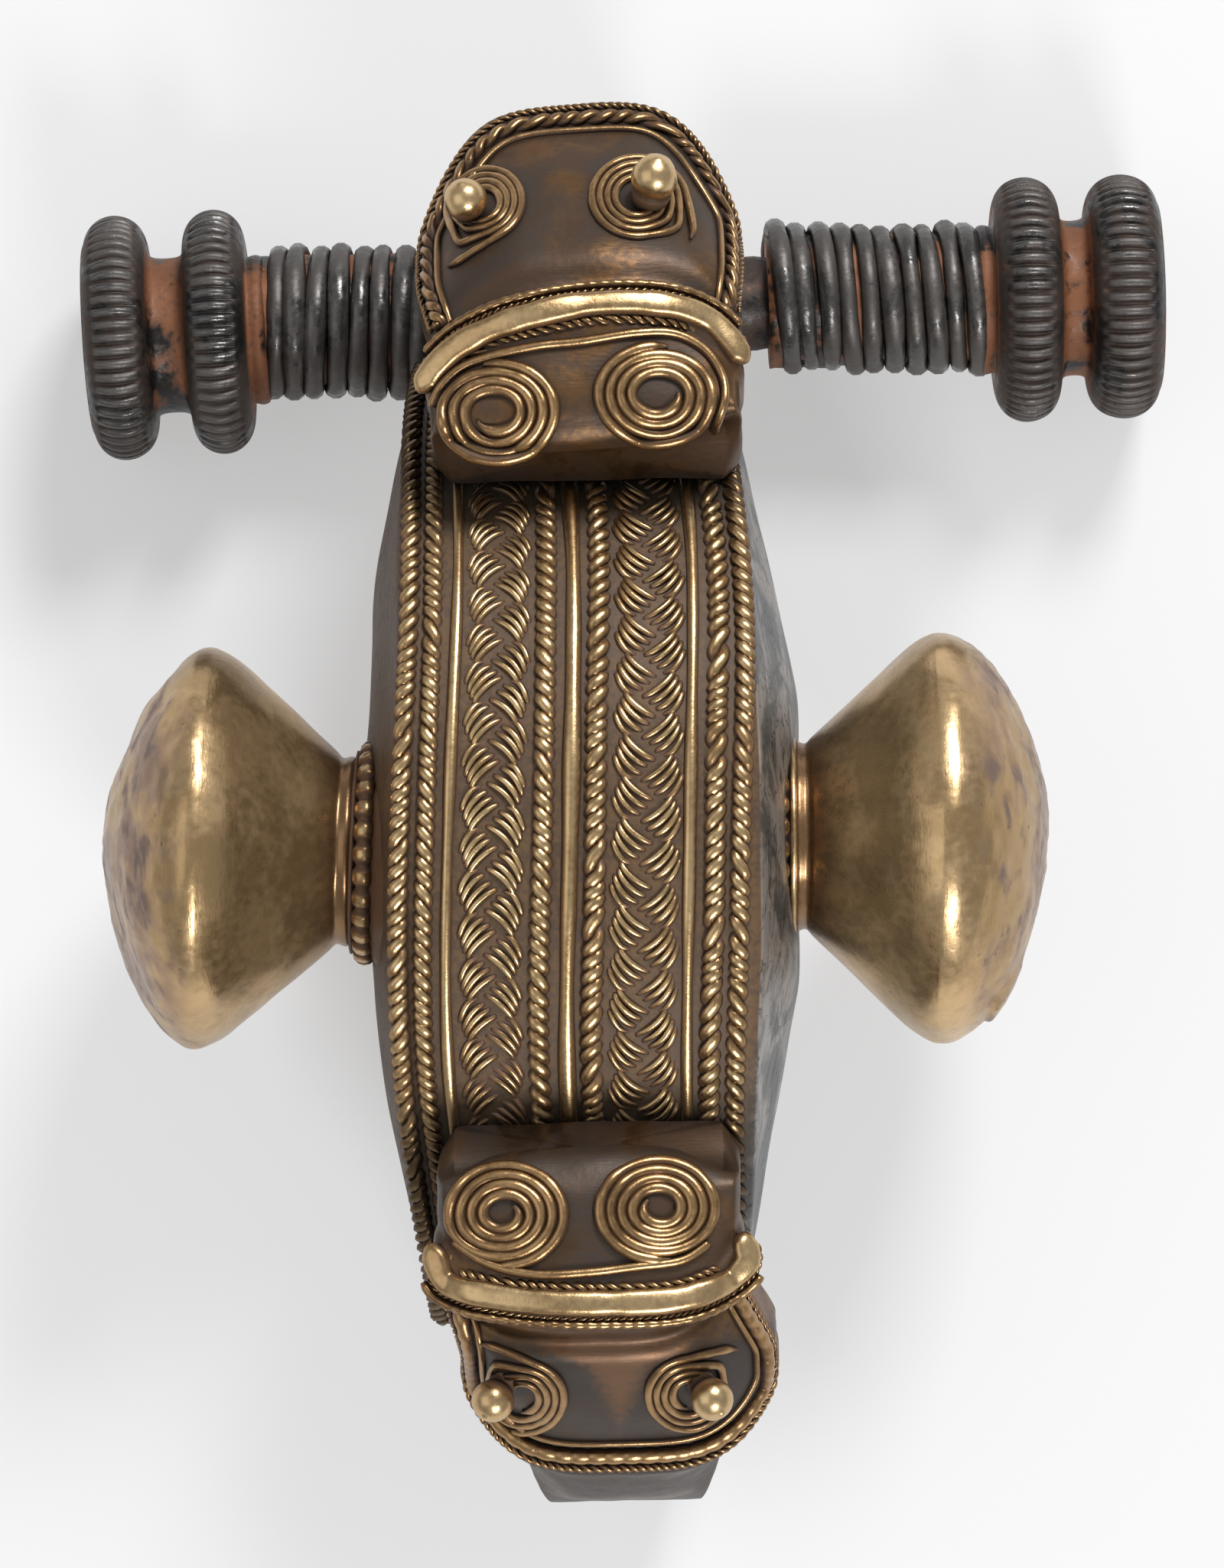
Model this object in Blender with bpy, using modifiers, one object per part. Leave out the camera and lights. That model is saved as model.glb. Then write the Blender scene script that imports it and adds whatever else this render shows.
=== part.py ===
"""Fibula brooch: a gold bow with an animal head at each end, two biconical knobs and an iron crossbar.

Run it in Blender 4.5. Units are metres. The brooch lies crest up on its four crossbar discs and its catch.
The origin is on the table under the middle of the whole, +Z is up, +Y runs to the head at the crossbar
and +X runs along the crossbar. The bow's own middle, from which the reaches below are measured, is BOW_AT.
"""

import math
from dataclasses import dataclass

import bmesh
import bpy
from mathutils import Matrix, Vector

# Clearances
GAP = 0.0003
RUNNING_GAP = 0.0003
WELD = 0.000001

# Crossbar: an iron axle, a coil on each side and a double disc at each end
AXLE_RADIUS = 0.0023
AXLE_REACH = 0.0269
CROSSBAR_SHIFT = 0.0026
CROSSBAR_YAW = math.radians(1.0)
SPOOL_RADIUS = 0.0060
SPOOL_CORE_RADIUS = 0.0037
SPOOL_DISC = 0.0038
SPOOL_GROOVE = 0.0010
SPOOL_ROUND = 0.0016
SPOOL_FROM = 0.0184
SPOOL_FLAT = 0.0004
COIL_WIRE = 0.0012
LEFT_COIL_FROM = 0.0097
RIGHT_COIL_FROM = 0.0071

# Bow: an arc seen from the side, deep and flanked in the middle, thin at its ends
BOW_RADIUS = 0.0250
BOW_CENTRE_DROP = 0.0040
BOW_SWEEP = math.radians(70.0)
BOW_DEPTH = 0.0165
BOW_END_DEPTH = 0.0044
BAND_HALF = 0.0084
BAND_END_HALF = 0.0073
BAND_CROWN = 0.0003
FLANK_BULGE = 0.0023
FLANK_SWEEP = math.radians(75.0)
BOW_STATIONS = 25

# Raised lanes across the band: middle, width and height of each rope or wire
ROPE_HEIGHT = 0.00038
WIRE_HEIGHT = 0.00028
PLAIT_HEIGHT = 0.00016
LANES = (
    (-0.00793, 0.00092, ROPE_HEIGHT),
    (-0.00678, 0.00090, ROPE_HEIGHT),
    (-0.00575, 0.00053, WIRE_HEIGHT),
    (-0.00361, 0.00290, PLAIT_HEIGHT),
    (-0.00143, 0.00096, ROPE_HEIGHT),
    (-0.00012, 0.00074, WIRE_HEIGHT),
    (0.00108, 0.00103, ROPE_HEIGHT),
    (0.00354, 0.00319, PLAIT_HEIGHT),
    (0.00552, 0.00057, WIRE_HEIGHT),
    (0.00657, 0.00103, ROPE_HEIGHT),
    (0.00774, 0.00096, ROPE_HEIGHT),
)

# Knobs and collars on the flanks
KNOB_DROP = 0.0110
KNOB_SHIFT = -0.0003
KNOB_REACH = -0.0007
SEAT_HALF = 0.0087
COLLAR_RADIUS = 0.0052
COLLAR_WIDTH = 0.00125
COLLAR_ROUND = 0.0007
KNOB_RADIUS = 0.0097
KNOB_NECK_RADIUS = 0.0045
KNOB_LIP = 0.0006
KNOB_CONE = 0.0068
KNOB_DOME = 0.0048
KNOB_SWELL = 0.0003
DOME_POWER = 1.85

# Heads: heights are measured down from the snout's top, which lies this far below the crest
SNOUT_DROP = 0.0002
RIDGE_RISE = 0.0006
RIDGE_WIDTH = 0.0013
SADDLE_DIP = 0.0016
STRAP_THICKNESS = 0.0021
NOSTRIL_RADIUS = 0.0028
EYE_RADIUS = 0.0021
SPIRAL_RISE = 0.0003
SPIRAL_ROOT = 0.0008
BORDER_RISE = 0.0003
STUD_RADIUS = 0.00105
STUD_NECK_RADIUS = 0.0007
STUD_LENGTH = 0.0021

SNOUT_THICKNESS = 0.0036
SNOUT_EDGE = 0.0012
SNOUT_CROWN = 0.0006
RIDGE_CROWN = 0.0014
PLATE_SWELL = 0.0003
WALL_SWELL = 0.0004
PLATE_CROWN = 0.0011
RIM_ROUND = 0.0011
ARCH_POWER = 3.9
CROWN_POWER = 2.2
EYE_TILT = math.radians(4)

# The round of a rib: share of the half width, share of the thickness and share of the border's rise
RIB_LOOP = (
    (-0.96, 0.05, 1), (-0.87, 0, 1), (-0.80, 0, 0), (-0.45, 0, 0), (0, 0, 0), (0.45, 0, 0), (0.80, 0, 0),
    (0.87, 0, 1), (0.96, 0.05, 1), (1.0, 0.28, 0), (1.0, 0.84, 0), (0.92, 1, 0), (0, 1, 0),
    (-0.92, 1, 0), (-1.0, 0.84, 0), (-1.0, 0.28, 0),
)

# Base of the heads, catch and pin
BLOCK_WALL = 0.0018
HEEL_WALL = 0.0026
BASE_EDGE = 0.0005
FOOT_CLEAR = 0.0036
FOOT_ROUND = 0.0020
PIN_SLOT_HALF = 0.0014
PIN_RING_WALL = 0.0009
PIN_ROOT_RADIUS = 0.00065
PIN_TIP_RADIUS = 0.0003
PIN_SHORT = 0.0001
PIN_SIDESTEP = 0.0026
CATCH_LENGTH = 0.0080
CATCH_REACH = 0.0290
CATCH_WALL = 0.0008
CATCH_TROUGH = 0.0014
CATCH_LIP = 0.0015


@dataclass(frozen=True)
class Head:
    """Sizes of one animal head: reaches from the bow's middle, half widths, drops and arches in plan.

    Old work isn't square, so the snout, plate and base each have a shift along X, and turn is the
    rise in reach for each unit of X.
    """

    name: str
    side: int
    snout_front: float
    ridge: float
    rim: float
    rim_drop: float
    snout_half: float
    ridge_half: float
    saddle_half: float
    plate_half: float
    ridge_arch: float
    rim_arch: float
    saddle_run: float
    base_reach: float
    base_half: float
    nostril_reach: float
    nostril_half: float
    stud_share: float
    stud_half: float
    snout_shift: float
    plate_shift: float
    base_shift: float
    turn: float


HEAD = Head(
    name="head", side=1, snout_front=0.0165, ridge=0.0232, rim=0.0346, rim_drop=0.0076,
    snout_half=0.0073, ridge_half=0.0078, saddle_half=0.0073, plate_half=0.0076,
    ridge_arch=0.0031, rim_arch=0.0066, saddle_run=0.0024, base_half=0.0058,
    base_reach=AXLE_REACH + AXLE_RADIUS + RUNNING_GAP + HEEL_WALL,
    nostril_reach=0.0187, nostril_half=0.0037, stud_share=0.42, stud_half=0.0041,
    snout_shift=0.0008, plate_shift=0.0008, base_shift=0.0, turn=0.06,
)
FOOT = Head(
    name="foot", side=-1, snout_front=0.0155, ridge=0.0237, rim=0.0308, rim_drop=0.0080,
    snout_half=0.0070, ridge_half=0.0080, saddle_half=0.0070, plate_half=0.0074,
    ridge_arch=0.0036, rim_arch=0.0040, saddle_run=0.0015, base_reach=0.0322, base_half=0.0039,
    nostril_reach=0.0190, nostril_half=0.0036, stud_share=0.22, stud_half=0.0044,
    snout_shift=0.0002, plate_shift=0.0015, base_shift=0.0014, turn=0.0,
)

AXLE_Z = SPOOL_RADIUS - SPOOL_FLAT
BOW_CENTRE_Z = AXLE_Z - BOW_CENTRE_DROP
CREST_Z = BOW_CENTRE_Z + BOW_RADIUS
SNOUT_TOP = CREST_Z - SNOUT_DROP
KNOB_Z = CREST_Z - KNOB_DROP
BORE_RADIUS = AXLE_RADIUS + RUNNING_GAP
BAND_TOP = BAND_CROWN + ROPE_HEIGHT
BASE_TOP = AXLE_Z + BORE_RADIUS + BLOCK_WALL
BOW_AT = Vector((-CROSSBAR_SHIFT, (FOOT.base_reach - HEAD.rim) / 2, 0))


def clear_scene():
    for obj in list(bpy.data.objects):
        bpy.data.objects.remove(obj, do_unlink=True)


def collection(name, hidden=False):
    made = bpy.data.collections.new(name)
    made.hide_render = hidden
    bpy.context.scene.collection.children.link(made)
    return made


def material(name, colour, roughness, metallic):
    made = bpy.data.materials.new(name)
    made.use_nodes = True
    shader = made.node_tree.nodes["Principled BSDF"]
    shader.inputs["Base Color"].default_value = (*colour, 1)
    shader.inputs["Roughness"].default_value = roughness
    shader.inputs["Metallic"].default_value = metallic
    return made


def new_object(name, mesh, finish, parent, matrix=None):
    obj = bpy.data.objects.new(name, mesh)
    parts.objects.link(obj)
    obj.parent = parent
    obj.matrix_basis = matrix or Matrix.Identity(4)
    if finish:
        mesh.materials.append(finish)
    return obj


def empty(name, location, parent=None, yaw=0.0):
    obj = bpy.data.objects.new(name, None)
    parts.objects.link(obj)
    obj.location = location
    obj.rotation_euler.z = yaw
    obj.parent = parent
    return obj


def as_cutter(obj):
    """Moves a helper to the cutters, where the build and a render leave it out."""
    parts.objects.unlink(obj)
    cutters.objects.link(obj)
    obj.hide_render = True
    obj.display_type = "WIRE"
    return obj


def boolean(obj, operation, other):
    modifier = obj.modifiers.new(other.name, "BOOLEAN")
    modifier.operation = operation
    modifier.object = other
    modifier.solver = "EXACT"


def lofted(name, loops, finish, parent):
    """A closed body through loops of equal length, with flat caps at both ends."""
    mesh = bpy.data.meshes.new(name)
    bm = bmesh.new()
    rows = [[bm.verts.new(point) for point in loop] for loop in loops]
    count = len(rows[0])
    for low, high in zip(rows, rows[1:]):
        for i in range(count):
            j = (i + 1) % count
            bm.faces.new((low[i], low[j], high[j], high[i]))
    bm.faces.new(rows[0])
    bm.faces.new(rows[-1])
    bmesh.ops.triangulate(bm, faces=bm.faces[:])
    bmesh.ops.recalc_face_normals(bm, faces=bm.faces[:])
    bm.to_mesh(mesh)
    bm.free()
    mesh.shade_smooth()
    mesh.set_sharp_from_angle(angle=math.radians(35))
    return new_object(name, mesh, finish, parent)


def turned(name, profile, finish, parent, matrix, steps, closed=False):
    """A profile of (radius, height) points, from the top down its outer side, turned about local Z."""
    mesh = bpy.data.meshes.new(name)
    points = [(radius, 0, height) for radius, height in profile]
    edges = [(i, i + 1) for i in range(len(points) - 1)]
    if closed:
        edges.append((len(points) - 1, 0))
    mesh.from_pydata(points, edges, [])
    obj = new_object(name, mesh, finish, parent, matrix)
    screw = obj.modifiers.new("turn", "SCREW")
    screw.steps = steps
    screw.render_steps = steps
    screw.use_merge_vertices = True
    screw.merge_threshold = WELD
    return obj


def extruded(name, outline, half_width, finish, parent, matrix):
    """A flat outline of (x, y) points, extruded both ways along the local Z axis."""
    curve = bpy.data.curves.new(name, "CURVE")
    curve.dimensions = "2D"
    curve.fill_mode = "BOTH"
    curve.extrude = half_width
    spline = curve.splines.new("POLY")
    spline.points.add(len(outline) - 1)
    for point, (x, y) in zip(spline.points, outline):
        point.co = (x, y, 0, 1)
    spline.use_cyclic_u = True
    return as_mesh(new_object(name, curve, None, parent, matrix), finish)


def as_mesh(obj, finish):
    """Turns a curve object into a mesh object with welded caps, so that it can be cut and joined."""
    name, parent, matrix = obj.name, obj.parent, obj.matrix_basis.copy()
    graph = bpy.context.evaluated_depsgraph_get()
    mesh = bpy.data.meshes.new_from_object(obj.evaluated_get(graph))
    bpy.data.objects.remove(obj, do_unlink=True)
    bm = bmesh.new()
    bm.from_mesh(mesh)
    bmesh.ops.remove_doubles(bm, verts=bm.verts[:], dist=WELD)
    bmesh.ops.recalc_face_normals(bm, faces=bm.faces[:])
    bm.to_mesh(mesh)
    bm.free()
    mesh.materials.clear()
    return new_object(name, mesh, finish, parent, matrix)


def box(name, low, high, parent):
    """A box cutter between two corners."""
    mesh = bpy.data.meshes.new(name)
    bm = bmesh.new()
    size = [b - a for a, b in zip(low, high)]
    middle = [(a + b) / 2 for a, b in zip(low, high)]
    bmesh.ops.create_cube(bm, size=1, matrix=Matrix.Translation(middle) @ Matrix.Diagonal((*size, 1)))
    bm.to_mesh(mesh)
    bm.free()
    return as_cutter(new_object(name, mesh, None, parent))


def rod(name, radius, low, high, parent, matrix, finish=None, steps=20):
    """A round rod along the local Z axis, from low to high."""
    profile = ((0, high), (radius, high), (radius, low), (0, low))
    return turned(name, profile, finish, parent, matrix, steps)


def along_x(location, towards=1):
    """A placing whose Z axis points along +X, or along -X."""
    return Matrix.Translation(location) @ Matrix.Rotation(towards * math.pi / 2, 4, "Y")


def bow_point(angle, height=0.0):
    """Reach and height of a point on the bow's arc, at an angle from the crest."""
    radius = BOW_RADIUS + height
    return Vector((radius * math.sin(angle), BOW_CENTRE_Z + radius * math.cos(angle)))


def bow_surface(reach, height):
    """Height over the table of the bow's arc, raised by height, at this reach."""
    return BOW_CENTRE_Z + math.sqrt((BOW_RADIUS + height) ** 2 - reach**2)


def bow_section(angle):
    """The bow's cross-section at an angle from the crest, as (x, depth) points."""
    share = abs(angle) / BOW_SWEEP
    half = BAND_END_HALF + (BAND_HALF - BAND_END_HALF) * (1 - share**2)
    scale = half / BAND_HALF
    bulge = FLANK_BULGE * (1 - (angle / FLANK_SWEEP) ** 2)
    depth = BOW_END_DEPTH + (BOW_DEPTH - BOW_END_DEPTH) * math.cos(share * math.pi / 2) ** 1.2
    top = [(-half, -0.4 * ROPE_HEIGHT)]
    for middle, width, height in LANES:
        edge = width / 2
        inner = edge * (0.8 if height == PLAIT_HEIGHT else 0.0)
        crown = BAND_CROWN * (1 - (middle / BAND_HALF) ** 2)
        top.append(((middle - edge) * scale, crown))
        if inner:
            top.append(((middle - inner) * scale, crown + height))
            top.append(((middle + inner) * scale, crown + height))
        else:
            top.append((middle * scale, crown + height))
    top.append((half, -0.4 * ROPE_HEIGHT))
    flank = [(0.30, 0.20), (0.72, 0.45), (1.0, 0.72), (0.85, 0.90), (0.2, 1.0)]
    right = [(half + bulge * out, -depth * down) for out, down in flank]
    left = [(-x, y) for x, y in reversed(right)]
    return top + right + left


def make_bow(frame, gold):
    loops = []
    for i in range(BOW_STATIONS):
        angle = BOW_SWEEP * (2 * i / (BOW_STATIONS - 1) - 1)
        loop = []
        for x, rise in bow_section(angle):
            reach, height = bow_point(angle, rise)
            loop.append((x, reach, height))
        loops.append(loop)
    bow = lofted("bow", loops, gold, frame)
    for side in (-1, 1):
        start = (side * SEAT_HALF + KNOB_SHIFT, KNOB_REACH, KNOB_Z)
        seat = rod(f"seat_{side}", COLLAR_RADIUS + GAP, 0, BAND_HALF, frame, along_x(start, side))
        boolean(bow, "DIFFERENCE", as_cutter(seat))
    return bow


def plate_line(head):
    """The eye plate's middle line in the side view: its inner end, its outer end and its outward normal."""
    start = Vector((head.ridge + RIDGE_WIDTH / 2 + head.saddle_run, SNOUT_TOP - 1.2 * SADDLE_DIP))
    end = Vector((head.rim - RIM_ROUND, SNOUT_TOP - head.rim_drop + 0.2 * RIM_ROUND))
    run = (end - start).normalized()
    return start, end, Vector((-run.y, run.x))


def plate_rib(head, share):
    """One rib of the eye plate at a share of its run: outer point, half width, arch, crown and shift."""
    start, end, normal = plate_line(head)
    outer = start.lerp(end, share) + normal * (PLATE_SWELL * math.sin(math.pi * share))
    half = head.saddle_half + (head.plate_half - head.saddle_half) * min(1, 2 * share)
    bend = head.ridge_arch + (head.rim_arch - head.ridge_arch) * share
    shift = head.snout_shift + (head.plate_shift - head.snout_shift) * min(1, 2 * share)
    return outer, half, bend, PLATE_CROWN - 0.4 * PLATE_CROWN * share, shift


def crossed(point, across, bend, crown):
    """Where a point of the middle line lies when its rib is followed outwards to this share."""
    across = abs(across)
    return Vector((point.x - bend * across**ARCH_POWER, point.y - crown * across**CROWN_POWER))


def head_ribs(head):
    """The strap's ribs from the snout to the base.

    Each is its outer and inner (reach, height), half width, arch of the outer and of the inner side,
    crown, the rise of its border, and its shift and turn.
    """
    top = SNOUT_TOP
    front, ridge, rim = head.snout_front, head.ridge, head.rim
    thick = STRAP_THICKNESS
    under = SNOUT_TOP - SNOUT_THICKNESS
    half_ridge = RIDGE_WIDTH / 2
    snout, arch = head.snout_half, head.ridge_arch
    square = (head.snout_shift, head.turn)

    edge, crown = SNOUT_EDGE, SNOUT_CROWN
    ribs = []
    ahead = (
        (0.2 * edge, top - edge, -0.6 * edge, 0, 0.93 * snout, 0, 0.7 * crown),
        (0.8 * edge, top - 0.2 * edge, 0.1 * edge, 0, snout, 0.1 * arch, crown),
        (2 * edge, top + 0.1 * edge, 1.2 * edge, GAP, snout, 0.3 * arch, crown),
    )
    for reach, height, inner_reach, lift, half, bend, rise in ahead:
        outer = Vector((front + reach, height))
        inner = Vector((front + inner_reach, bow_surface(front + inner_reach, BAND_TOP + GAP + lift)))
        ribs.append((outer, inner, half, bend, 0, rise, 0, *square))
    step = RIDGE_RISE
    low = top - SADDLE_DIP
    out = half_ridge + 0.3 * head.saddle_run
    behind = (
        (-half_ridge - 2 * step, top, -4 * step, snout, 0.85 * arch, 1.5 * crown),
        (-half_ridge, top - 0.2 * step, -2.3 * step, snout, arch, 0.85 * RIDGE_CROWN),
        (-0.55 * half_ridge, top + step, -1.6 * step, head.ridge_half, arch, RIDGE_CROWN),
        (0.45 * half_ridge, top + step, -0.5 * step, head.ridge_half, arch, RIDGE_CROWN),
        (half_ridge, top - 0.7 * step, 0, head.ridge_half, arch, RIDGE_CROWN),
        (out, low, 0.8 * step, head.saddle_half, arch, 0.93 * RIDGE_CROWN),
    )
    for reach, height, inner_reach, half, bend, rise in behind:
        outer, inner = Vector((ridge + reach, height)), Vector((ridge + inner_reach, under))
        ribs.append((outer, inner, half, bend, bend, rise, 0, *square))
    normal = plate_line(head)[2]
    for share in (0.0, 0.35, 0.68, 0.86, 0.93, 1.0):
        outer, half, bend, crown, shift = plate_rib(head, share)
        lift = normal * (BORDER_RISE if share > 0.9 else 0)
        border = 0 if share > 0.9 else BORDER_RISE
        inner = outer - normal * thick
        ribs.append((outer + lift, inner, half, bend, bend, crown, border, shift, head.turn))
    wall_to = Vector((head.base_reach, BASE_TOP))
    rim_point = Vector((rim, SNOUT_TOP - head.rim_drop - 0.5 * RIM_ROUND))
    for share in (0.0, 0.12, 0.3, 0.55, 0.8, 1.0):
        outer = rim_point.lerp(wall_to, share) + Vector((WALL_SWELL * math.sin(math.pi * share), 0))
        half = head.plate_half + (head.base_half - head.plate_half) * share
        slope = 0.55 if share == 0.0 else 0.0
        inner = outer - Vector((thick, slope * thick))
        bend = head.rim_arch * (1 - share) ** 1.5
        shift = head.plate_shift + (head.base_shift - head.plate_shift) * share
        crown = SNOUT_CROWN * (1 - share)
        ribs.append((outer, inner, half, bend, bend, crown, 0, shift, head.turn * (1 - share)))
    foot_end = Vector((head.base_reach - 0.1 * thick, BASE_TOP - 0.8 * thick))
    inner = foot_end - Vector((thick, 0))
    ribs.append((foot_end, inner, head.base_half, 0.0, 0.0, 0.0, 0, head.base_shift, 0.0))
    return ribs


def make_strap(head, frame, gold):
    """The bent strap that forms a head: snout, ridge, saddle, eye plate and the wall down to its base."""
    loops = []
    for outer, inner, half, outer_bend, inner_bend, crown, border, shift, turn in head_ribs(head):
        loop = []
        for across, depth, raised in RIB_LOOP:
            bend = outer_bend + (inner_bend - outer_bend) * depth
            point = crossed(outer.lerp(inner, depth), across, bend, crown)
            reach = point.x + turn * across * half * (1 - depth)
            loop.append((across * half + shift, head.side * reach, point.y + raised * border))
        loops.append(loop)
    return lofted(f"{head.name}_terminal", loops, gold, frame)


def ledge():
    """The line that a head's base keeps to round the bow's end: outside it, then under its end face."""
    out = bow_point(BOW_SWEEP - math.radians(3.5), BAND_TOP + GAP)
    corner = bow_point(BOW_SWEEP + GAP / BOW_RADIUS, BAND_TOP + GAP)
    under = bow_point(BOW_SWEEP + GAP / BOW_RADIUS, -BOW_END_DEPTH - GAP)
    return [out, corner, under]


def make_base(head, outline, gold, frame):
    """The block at the foot of a head, extruded across from its outline of (reach, height) points."""
    points = [(head.side * reach, height) for reach, height in outline]
    standing = Matrix.Rotation(math.pi / 2, 4, "Y") @ Matrix.Rotation(math.pi / 2, 4, "Z")
    place = Matrix.Translation((head.base_shift, 0, 0)) @ standing
    base = as_cutter(extruded(f"{head.name}_base", points, head.base_half, gold, frame, place))
    bevel = base.modifiers.new("worn edges", "BEVEL")
    bevel.width = BASE_EDGE
    bevel.segments = 1
    bevel.angle_limit = math.radians(50)
    return base


def spiral_disc(name, radius, place, parent):
    """A low turned disc with two rings, which stands for a wire spiral."""
    rise = SPIRAL_RISE
    profile = (
        (0, rise), (0.22 * radius, rise), (0.36 * radius, 0.2 * rise), (0.5 * radius, rise),
        (0.64 * radius, rise), (0.76 * radius, 0.2 * rise), (0.88 * radius, rise), (radius, 0),
        (radius, -SPIRAL_ROOT), (0, -SPIRAL_ROOT),
    )
    return as_cutter(turned(name, profile, None, parent, place, 12))


def nostril(head, side, parent):
    """The spiral on one side of the snout."""
    height = SNOUT_TOP - 0.7 * SPIRAL_RISE
    reach = head.nostril_reach + head.turn * side * head.nostril_half
    place = Matrix.Translation((side * head.nostril_half + head.snout_shift, head.side * reach, height))
    tilt = Matrix.Rotation(side * math.radians(5), 4, "Y")
    return spiral_disc(f"{head.name}_nostril_{side}", NOSTRIL_RADIUS, place @ tilt, parent)


def eye_place(head, side):
    """The placing of an eye on the eye plate, its Z axis along the plate's normal."""
    outer, half, bend, crown, shift = plate_rib(head, head.stud_share)
    point = crossed(outer, head.stud_half / half, bend, crown)
    reach = point.x + head.turn * side * head.stud_half
    normal = plate_line(head)[2]
    lean = head.side * math.atan2(normal.x, normal.y)
    place = Matrix.Translation((side * head.stud_half + shift, head.side * reach, point.y))
    return place @ Matrix.Rotation(-lean, 4, "X") @ Matrix.Rotation(side * EYE_TILT, 4, "Y")


def add_spirals(head, strap, parent):
    """Joins the low discs of both nostrils and both eyes to a head."""
    for side in (-1, 1):
        boolean(strap, "UNION", nostril(head, side, parent))
        eye = spiral_disc(f"{head.name}_eye_disc_{side}", EYE_RADIUS, eye_place(head, side), parent)
        boolean(strap, "UNION", eye)


def make_head(frame, gold, crossbar):
    """The head at the crossbar: its base holds the axle between two cheeks, with a slot for the pin."""
    strap = make_strap(HEAD, frame, gold)
    low = AXLE_Z - BORE_RADIUS - BLOCK_WALL
    out = HEAD.base_reach
    outline = ledge() + [
        Vector((bow_point(BOW_SWEEP, -BOW_END_DEPTH).x, AXLE_Z - 0.4 * BORE_RADIUS)),
        Vector((AXLE_REACH - 1.4 * BORE_RADIUS, low)),
        Vector((AXLE_REACH + BORE_RADIUS, low)),
        Vector((out - BASE_EDGE, AXLE_Z - BORE_RADIUS)),
        Vector((out, AXLE_Z)),
        Vector((out, BASE_TOP)),
        Vector((AXLE_REACH - 0.5 * BORE_RADIUS, BASE_TOP)),
    ]
    boolean(strap, "UNION", make_base(HEAD, outline, gold, frame))
    add_spirals(HEAD, strap, frame)
    reach = 2 * HEAD.base_half
    bore = rod("axle_bore", BORE_RADIUS, -reach, reach, crossbar, along_x((0, 0, 0)))
    boolean(strap, "DIFFERENCE", as_cutter(bore))
    ring = BORE_RADIUS + PIN_RING_WALL + GAP
    slot = box(
        "pin_slot",
        (-PIN_SLOT_HALF, bow_point(BOW_SWEEP, -BOW_END_DEPTH).x - BLOCK_WALL, low - BLOCK_WALL),
        (PIN_SLOT_HALF, AXLE_REACH + ring, AXLE_Z + ring),
        frame,
    )
    boolean(strap, "DIFFERENCE", slot)
    return strap


def make_foot(frame, gold):
    """The head at the catch end: its base is a slab under the bow's end."""
    strap = make_strap(FOOT, frame, gold)
    out = FOOT.base_reach
    end = bow_point(BOW_SWEEP)
    outline = ledge() + [
        Vector((bow_point(BOW_SWEEP, -BOW_END_DEPTH).x, FOOT_CLEAR + FOOT_ROUND)),
        Vector((CATCH_REACH - CATCH_LENGTH - GAP, FOOT_CLEAR)),
        Vector((out - FOOT_ROUND, FOOT_CLEAR)),
        Vector((out - 0.2 * FOOT_ROUND, FOOT_CLEAR + 0.8 * FOOT_ROUND)),
        Vector((out, FOOT_CLEAR + 1.7 * FOOT_ROUND)),
        Vector((out, BASE_TOP)),
        Vector((out - 0.6 * FOOT_ROUND, BASE_TOP)),
        Vector((out - 1.2 * FOOT_ROUND, end.y - 0.8 * FOOT_ROUND)),
        Vector((end.x + 1.1 * FOOT_ROUND, end.y - 1.1 * FOOT_ROUND)),
    ]
    boolean(strap, "UNION", make_base(FOOT, outline, gold, frame))
    add_spirals(FOOT, strap, frame)
    return strap


def make_studs(head, frame, gold):
    """The two domed pegs that stand in a head's eyes, square to the eye plate."""
    length, radius = STUD_LENGTH, STUD_RADIUS
    profile = [(0, length)]
    for step in range(1, 5):
        angle = math.radians(32 * step)
        profile.append((radius * math.sin(angle), length - radius * (1 - math.cos(angle))))
    profile += [(STUD_NECK_RADIUS, 0), (0, 0)]
    for side, word in ((-1, "left"), (1, "right")):
        place = eye_place(head, side) @ Matrix.Translation((0, 0, SPIRAL_RISE + GAP))
        turned(f"{head.name}_eye_{word}", profile, gold, frame, place, 9)


def make_knob(side, word, frame, gold):
    """A collar against the bow's flank and the hollow double cone that stands on it."""
    foot = (side * (SEAT_HALF + GAP) + KNOB_SHIFT, KNOB_REACH, KNOB_Z)
    width, radius = COLLAR_WIDTH, COLLAR_RADIUS
    collar = [
        (0, width), (radius - COLLAR_ROUND, width), (radius, 0.72 * width), (radius, 0.28 * width),
        (radius - COLLAR_ROUND, 0), (0, 0),
    ]
    turned(f"{word}_collar", collar, gold, frame, along_x(foot, side), 20)
    start = width + GAP
    cone_from = start + KNOB_LIP
    widest = cone_from + KNOB_CONE
    top = []
    for share in (0.0, 0.3, 0.55, 0.76, 0.9, 0.97):
        top.append((KNOB_RADIUS * share, widest + KNOB_DOME * (1 - share**DOME_POWER) ** (1 / DOME_POWER)))
    cone = [(KNOB_RADIUS, widest)]
    for share in (0.55, 0.0):
        straight = KNOB_NECK_RADIUS + (KNOB_RADIUS - KNOB_NECK_RADIUS) * share
        cone.append((straight + KNOB_SWELL * math.sin(math.pi * share), cone_from + KNOB_CONE * share))
    neck = KNOB_NECK_RADIUS
    lip = [(neck + KNOB_SWELL, cone_from - 0.5 * KNOB_LIP), (neck, start), (0, start)]
    turned(f"{word}_knob", top + cone + lip, gold, frame, along_x(foot, side), 24)


def make_axle(crossbar, iron):
    end = SPOOL_FROM + SPOOL_DISC
    return rod("crossbar", AXLE_RADIUS, -end, end, crossbar, along_x((0, 0, 0)), iron, 16)


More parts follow.
